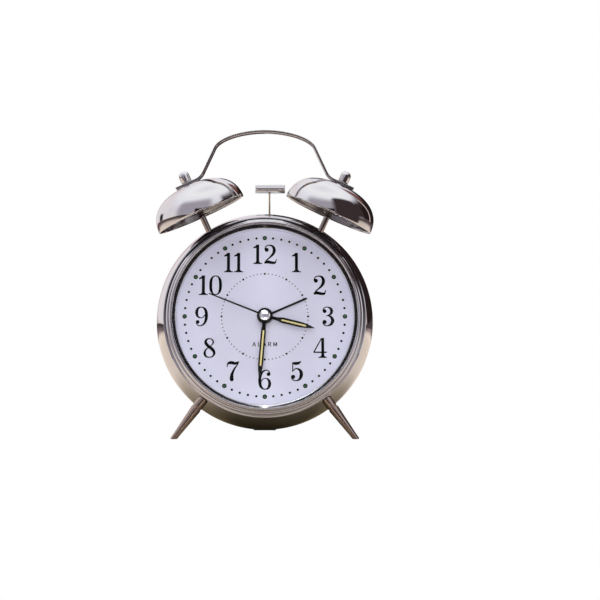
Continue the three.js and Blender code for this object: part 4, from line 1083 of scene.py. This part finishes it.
# %% Battery door, knobs, switch and screws
DOOR_THICKNESS = 1.6
door = box("door_panel", DOOR_LOW.x, DOOR_HIGH.x, COVER_BACK - DOOR_THICKNESS, COVER_BACK, DOOR_LOW.z,
           DOOR_HIGH.z)
bevel(door, 0.3)
for step in (-3, 0, 3):
    z = BAY_HIGH - 4.2 + step * 0.7
    rib = bevel(box("rib", -5, 5, COVER_BACK - 0.5, COVER_BACK + 0.5, z, z + 0.8), 0.2)
    combine(door, rib, "UNION")
seat(door, "battery_door", sharp=12)


KNOB_RADIUS = 5.0
KNOB_RIDGES = 18
KNOB_STEPS = 8 * KNOB_RIDGES
RIDGE_HEIGHT = 0.2


def knob(name, node, at):
    """A push-on knob: a ridged grip with a shallow round recess in its end."""
    corners = []
    for k in range(KNOB_STEPS):
        angle = 2 * math.pi * k / KNOB_STEPS
        radius = KNOB_RADIUS + RIDGE_HEIGHT * math.tanh(2.5 * math.cos(KNOB_RIDGES * angle))
        corners.append((at[0] + radius * math.cos(angle), at[1] + radius * math.sin(angle)))
    grip = flat_solid(name, [corners], COVER_BACK + 1, COVER_BACK + 6.5)
    bevel(grip, 0.35, 3, 50)
    combine(grip, rod("dimple", 3.1, COVER_BACK + 6.1, COVER_BACK + 7, at), "DIFFERENCE")
    combine(grip, rod("bore", 1.3, COVER_BACK - 1, COVER_BACK + 5, at, 32), "DIFFERENCE")
    return seat(grip, node, sharp=40)


knob("time_knob_grip", "time_set_knob", TIME_KNOB)
knob("alarm_knob_grip", "alarm_set_knob", ALARM_KNOB)

switch_x, switch_z = SWITCH_AT
slide = box("alarm_slide", switch_x - 4.4, switch_x + 0.8, COVER_BACK + GAP, COVER_BACK + 2.6,
            switch_z - 2.6, switch_z + 2.6)
bevel(slide, 0.35, 3)
for step in (-1.2, 0, 1.2):
    x = switch_x - 1.8 + step
    groove = box("groove", x - 0.2, x + 0.2, COVER_BACK + 2.3, COVER_BACK + 3, -60, 60)
    combine(slide, groove, "DIFFERENCE")
stem = box("stem", switch_x - 3.2, switch_x - 0.4, COVER_FRONT - 2, COVER_BACK + 1, switch_z - 1.2,
           switch_z + 1.2)
combine(slide, stem, "UNION")
keeper = box("keeper", switch_x - 5, switch_x + 1.4, COVER_FRONT - 2.2, COVER_FRONT - GAP,
             switch_z - 2.8, switch_z + 2.8)
combine(slide, keeper, "UNION")
seat(slide, "alarm_switch", sharp=35)

for index, at in enumerate(SCREWS):
    screw_head = fillet([(0, COVER_BACK + GAP), (2.8, COVER_BACK + GAP, 0.1), (2.8, COVER_BACK + 1.2, 0.5),
                         (2.0, COVER_BACK + 1.8, 0.5), (0, COVER_BACK + 1.8)])
    spot = Matrix.Translation((at[0], 0, at[1]))
    screw = object_from("screw_%d" % (index + 1), turned(screw_head, spot, 64))
    combine(screw, rod("thread", 1.15, 12, COVER_BACK + 1, at, 32), "UNION")
    for half, length in ((0.3, 1.7), (1.7, 0.3)):
        drive = box("drive", at[0] - half, at[0] + half, COVER_BACK + 1, COVER_BACK + 3, at[1] - length,
                    at[1] + length)
        combine(screw, drive, "DIFFERENCE")
    seat(screw, "cover_screw_%d" % (index + 1), sharp=35)

# %% [markdown]
# ## The studio
# Chrome shows its surroundings, so the room is what paints it. The world is a bright tent with
# dark and warm flags and a table below. The eye sees plain white. The tent shows in the mirrors,
# and at half strength it lights the matt surfaces.


# %% World
def ramp_between(tree, value, start, end, first=0.0, last=1.0):
    """A smooth step from one value to another."""
    step = add_node(tree, "ShaderNodeMapRange", {"Value": value, "From Min": start, "From Max": end,
                    "To Min": first, "To Max": last}, interpolation_type="SMOOTHSTEP")
    return step.outputs[0]


def band(tree, value, low, high, soft):
    """One between low and high, falling smoothly to zero over a soft edge."""
    rise = ramp_between(tree, value, low - soft, low + soft)
    fall = ramp_between(tree, value, high - soft, high + soft, 1.0, 0.0)
    return add_math(tree, "MULTIPLY", rise, fall)


def paint(tree, under, color, mask):
    mix = add_node(tree, "ShaderNodeMix", {"Factor": mask}, data_type="RGBA")
    tree.links.new(under, mix.inputs[6])
    mix.inputs[7].default_value = (*color, 1)
    return mix.outputs[2]


world = bpy.data.worlds.new("studio")
bpy.context.scene.world = world
world.use_nodes = True
tree = world.node_tree
tree.nodes.clear()
place = add_node(tree, "ShaderNodeTexCoord").outputs["Generated"]
parts = add_node(tree, "ShaderNodeSeparateXYZ", {0: place})
turn = add_math(tree, "ARCTAN2", parts.outputs["X"], add_math(tree, "MULTIPLY", parts.outputs["Y"], -1.0))
azimuth = add_math(tree, "MULTIPLY", turn, 180 / math.pi)
rise = add_math(tree, "MULTIPLY", add_math(tree, "ARCSINE", parts.outputs["Z"]), 180 / math.pi)
base = add_node(tree, "ShaderNodeValToRGB")
base_value = add_math(tree, "MULTIPLY_ADD", rise, 1 / 180, 0.5)
tree.links.new(base_value, base.inputs[0])
ramp = base.color_ramp
# The tent from straight below (0) to straight above (1).
TENT = [(0.0, (0.09, 0.07, 0.04)), (0.25, (0.20, 0.16, 0.11)), (0.38, (0.70, 0.59, 0.49)),
        (0.475, (0.76, 0.68, 0.60)), (0.50, (0.80, 0.76, 0.77)), (0.60, (0.76, 0.73, 0.77)),
        (0.72, (0.90, 0.88, 0.93)), (0.85, (1.0, 1.0, 1.0)), (1.0, (0.85, 0.84, 0.88))]
ramp.elements[0].position, ramp.elements[0].color = TENT[0][0], (*TENT[0][1], 1)
ramp.elements[1].position, ramp.elements[1].color = TENT[-1][0], (*TENT[-1][1], 1)
for position, color in TENT[1:-1]:
    element = ramp.elements.new(position)
    element.color = (*color, 1)
tent = base.outputs[0]
# Flags and openings: (colour, azimuth from, to, rise from, to, softness).
FLAGS = [
    ((0.84, 0.78, 0.80), -182, -96, -2, 40, 8.0),
    ((0.55, 0.42, 0.40), -163, -158, -2, 30, 2.0),
    ((0.38, 0.35, 0.40), -62, 30, -9, 38, 11.0),
    ((0.045, 0.03, 0.032), 62, 150, -6, 40, 9.0),
    ((0.20, 0.07, 0.06), 138, 154, 2, 44, 5.0),
    ((0.02, 0.012, 0.012), 100, 186, -4, 26, 4.0),
    ((0.07, 0.05, 0.05), 150, 182, -16, -2, 2.5),
    ((0.07, 0.05, 0.05), -182, -150, -16, -2, 2.5),
    ((0.88, 0.70, 0.66), 127, 131, -4, 36, 1.8),
    ((0.85, 0.55, 0.25), 92, 132, -11, -5, 2.0),
    ((0.015, 0.012, 0.012), -13, 13, -14, 11, 2.5),
    ((0.03, 0.025, 0.028), -128, -112, -4, 10, 3.0),
    ((0.55, 0.20, 0.16), -150, -136, -7, -2, 1.5),
]
for color, a0, a1, r0, r1, soft in FLAGS:
    mask = add_math(tree, "MULTIPLY", band(tree, azimuth, a0, a1, soft), band(tree, rise, r0, r1, soft))
    tent = paint(tree, tent, color, mask)
TENT_POWER = 1.0
TENT_BOUNCE = 0.5
SEEN_WHITE = (1.0, 1.0, 1.0, 1)
paths = add_node(tree, "ShaderNodeLightPath").outputs
dimmed = add_math(tree, "MULTIPLY_ADD", paths["Is Diffuse Ray"], TENT_BOUNCE - TENT_POWER, TENT_POWER)
reflected = add_node(tree, "ShaderNodeBackground", {"Color": tent, "Strength": dimmed})
seen = add_node(tree, "ShaderNodeBackground", {"Color": SEEN_WHITE, "Strength": 1.0})
eye = paths["Is Camera Ray"]
both = add_node(tree, "ShaderNodeMixShader", {0: eye, 1: reflected.outputs[0], 2: seen.outputs[0]})
out = add_node(tree, "ShaderNodeOutputWorld", {"Surface": both.outputs[0]})

# %% Table and lamps
# Painted shadow: the table's colour darkens round the spot under the clock, for the mirrors and the bounce light.
# It also has a darker spot in front of the clock and darkens far out. The camera sees the table plain white.
TABLE_TONE = (0.74, 0.63, 0.53)
SHADE_TONE = (0.17, 0.135, 0.075)
UNDER_CLOCK = (0.0, 0.02, 0.0)
DARK_SPOT = (0.04, -0.28, 0.0)
SPOT_TONE = (0.16, 0.11, 0.09)
FAR_TONE = (0.16, 0.12, 0.12)
table_mesh = bmesh.new()
bmesh.ops.create_grid(table_mesh, x_segments=1, y_segments=1, size=1.6)
table_data = bpy.data.meshes.new("table_top")
table_mesh.to_mesh(table_data)
table_mesh.free()
table_top = bpy.data.objects.new("table_top", table_data)
bpy.context.scene.collection.objects.link(table_top)
table_paint = bpy.data.materials.new("table_paint")
table_paint.use_nodes = True
tree = table_paint.node_tree
tree.nodes.clear()
path = add_node(tree, "ShaderNodeLightPath")
pale = add_node(tree, "ShaderNodeEmission", {"Color": SEEN_WHITE, "Strength": 1.0})
where = add_node(tree, "ShaderNodeTexCoord").outputs["Object"]
near = add_node(tree, "ShaderNodeVectorMath", {0: where, 1: UNDER_CLOCK}, operation="DISTANCE")
near = near.outputs["Value"]
tone = add_node(tree, "ShaderNodeMix", {"Factor": ramp_between(tree, near, 0.03, 0.115)}, data_type="RGBA")
tone.inputs[6].default_value = (*SHADE_TONE, 1)
tone.inputs[7].default_value = (*TABLE_TONE, 1)
spot = add_node(tree, "ShaderNodeVectorMath", {0: where, 1: DARK_SPOT}, operation="DISTANCE")
spot_mask = ramp_between(tree, spot.outputs["Value"], 0.10, 0.20, 1.0, 0.0)
tabletop = paint(tree, tone.outputs[2], SPOT_TONE, spot_mask)
tabletop = paint(tree, tabletop, FAR_TONE, ramp_between(tree, near, 0.45, 0.8))
warm = add_node(tree, "ShaderNodeBsdfDiffuse", {"Color": tabletop})
shown = add_node(tree, "ShaderNodeMixShader", {0: path.outputs["Is Camera Ray"], 1: warm.outputs[0],
                 2: pale.outputs[0]})
add_node(tree, "ShaderNodeOutputMaterial", {"Surface": shown.outputs[0]})
table_data.materials.append(table_paint)


def card(name, corner_a, corner_b, low, high, tone):
    """An upright card with a soft edge that only mirrors see: it casts no shadow."""
    mesh = bmesh.new()
    cover = mesh.verts.layers.float.new("cover")
    steps = 6
    rows = []
    for i in range(steps + 1):
        height = low + (high - low) * i / steps
        rows.append([])
        for k in range(steps + 1):
            x, y = Vector(corner_a).lerp(Vector(corner_b), k / steps)
            vertex = mesh.verts.new((x, y, height))
            vertex[cover] = 0.0 if i in (0, steps) or k in (0, steps) else 1.0
            rows[-1].append(vertex)
    for i in range(steps):
        for k in range(steps):
            mesh.faces.new((rows[i][k], rows[i][k + 1], rows[i + 1][k + 1], rows[i + 1][k]))
    data = bpy.data.meshes.new(name)
    mesh.to_mesh(data)
    mesh.free()
    card_paint = bpy.data.materials.new(name + "_paint")
    card_paint.use_nodes = True
    nodes = card_paint.node_tree
    nodes.nodes.clear()
    glow = add_node(nodes, "ShaderNodeEmission", {"Color": (*tone, 1), "Strength": 1.0})
    clear = add_node(nodes, "ShaderNodeBsdfTransparent")
    edge = add_node(nodes, "ShaderNodeAttribute", attribute_name="cover").outputs["Fac"]
    faded = add_node(nodes, "ShaderNodeMixShader", {0: edge, 1: clear.outputs[0], 2: glow.outputs[0]})
    add_node(nodes, "ShaderNodeOutputMaterial", {"Surface": faded.outputs[0]})
    data.materials.append(card_paint)
    thing = bpy.data.objects.new(name, data)
    bpy.context.scene.collection.objects.link(thing)
    thing.visible_camera = False
    thing.visible_shadow = False
    thing.visible_diffuse = False
    return thing


card("centre_card", (0.0, -0.105), (0.0, -0.038), 0.015, 0.115, (0.015, 0.012, 0.012))
card("dark_card", (0.036, -0.062), (0.092, -0.026), 0.088, 0.165, (0.045, 0.03, 0.032))


def area_light(name, place, aim, width, height, power, color=(1, 1, 1)):
    data = bpy.data.lights.new(name, "AREA")
    data.shape = "RECTANGLE"
    data.size = width
    data.size_y = height
    data.energy = power
    data.color = color
    light = bpy.data.objects.new(name, data)
    bpy.context.scene.collection.objects.link(light)
    light.location = place
    light.visible_glossy = False
    light.rotation_euler = (Vector(aim) - Vector(place)).to_track_quat("-Z", "Y").to_euler()
    return light


middle = (0, 0, 0.07)
area_light("key", (-0.15, -0.35, 0.8), middle, 0.5, 0.3, 2.8, (0.97, 0.98, 1.0))
area_light("low_front", (0.0, -0.6, 0.03), (0, 0, 0.04), 0.6, 0.1, 2.8, (0.93, 0.96, 1.0))
area_light("fill_right", (0.8, -0.5, 0.35), middle, 0.3, 0.5, 0.8, (1.0, 0.95, 0.92))
area_light("back_left", (-0.5, 0.8, 0.6), middle, 0.4, 0.4, 5.0)
area_light("back_right", (0.6, 0.7, 0.3), middle, 0.3, 0.4, 3.0)
bpy.context.scene.view_settings.view_transform = "Standard"
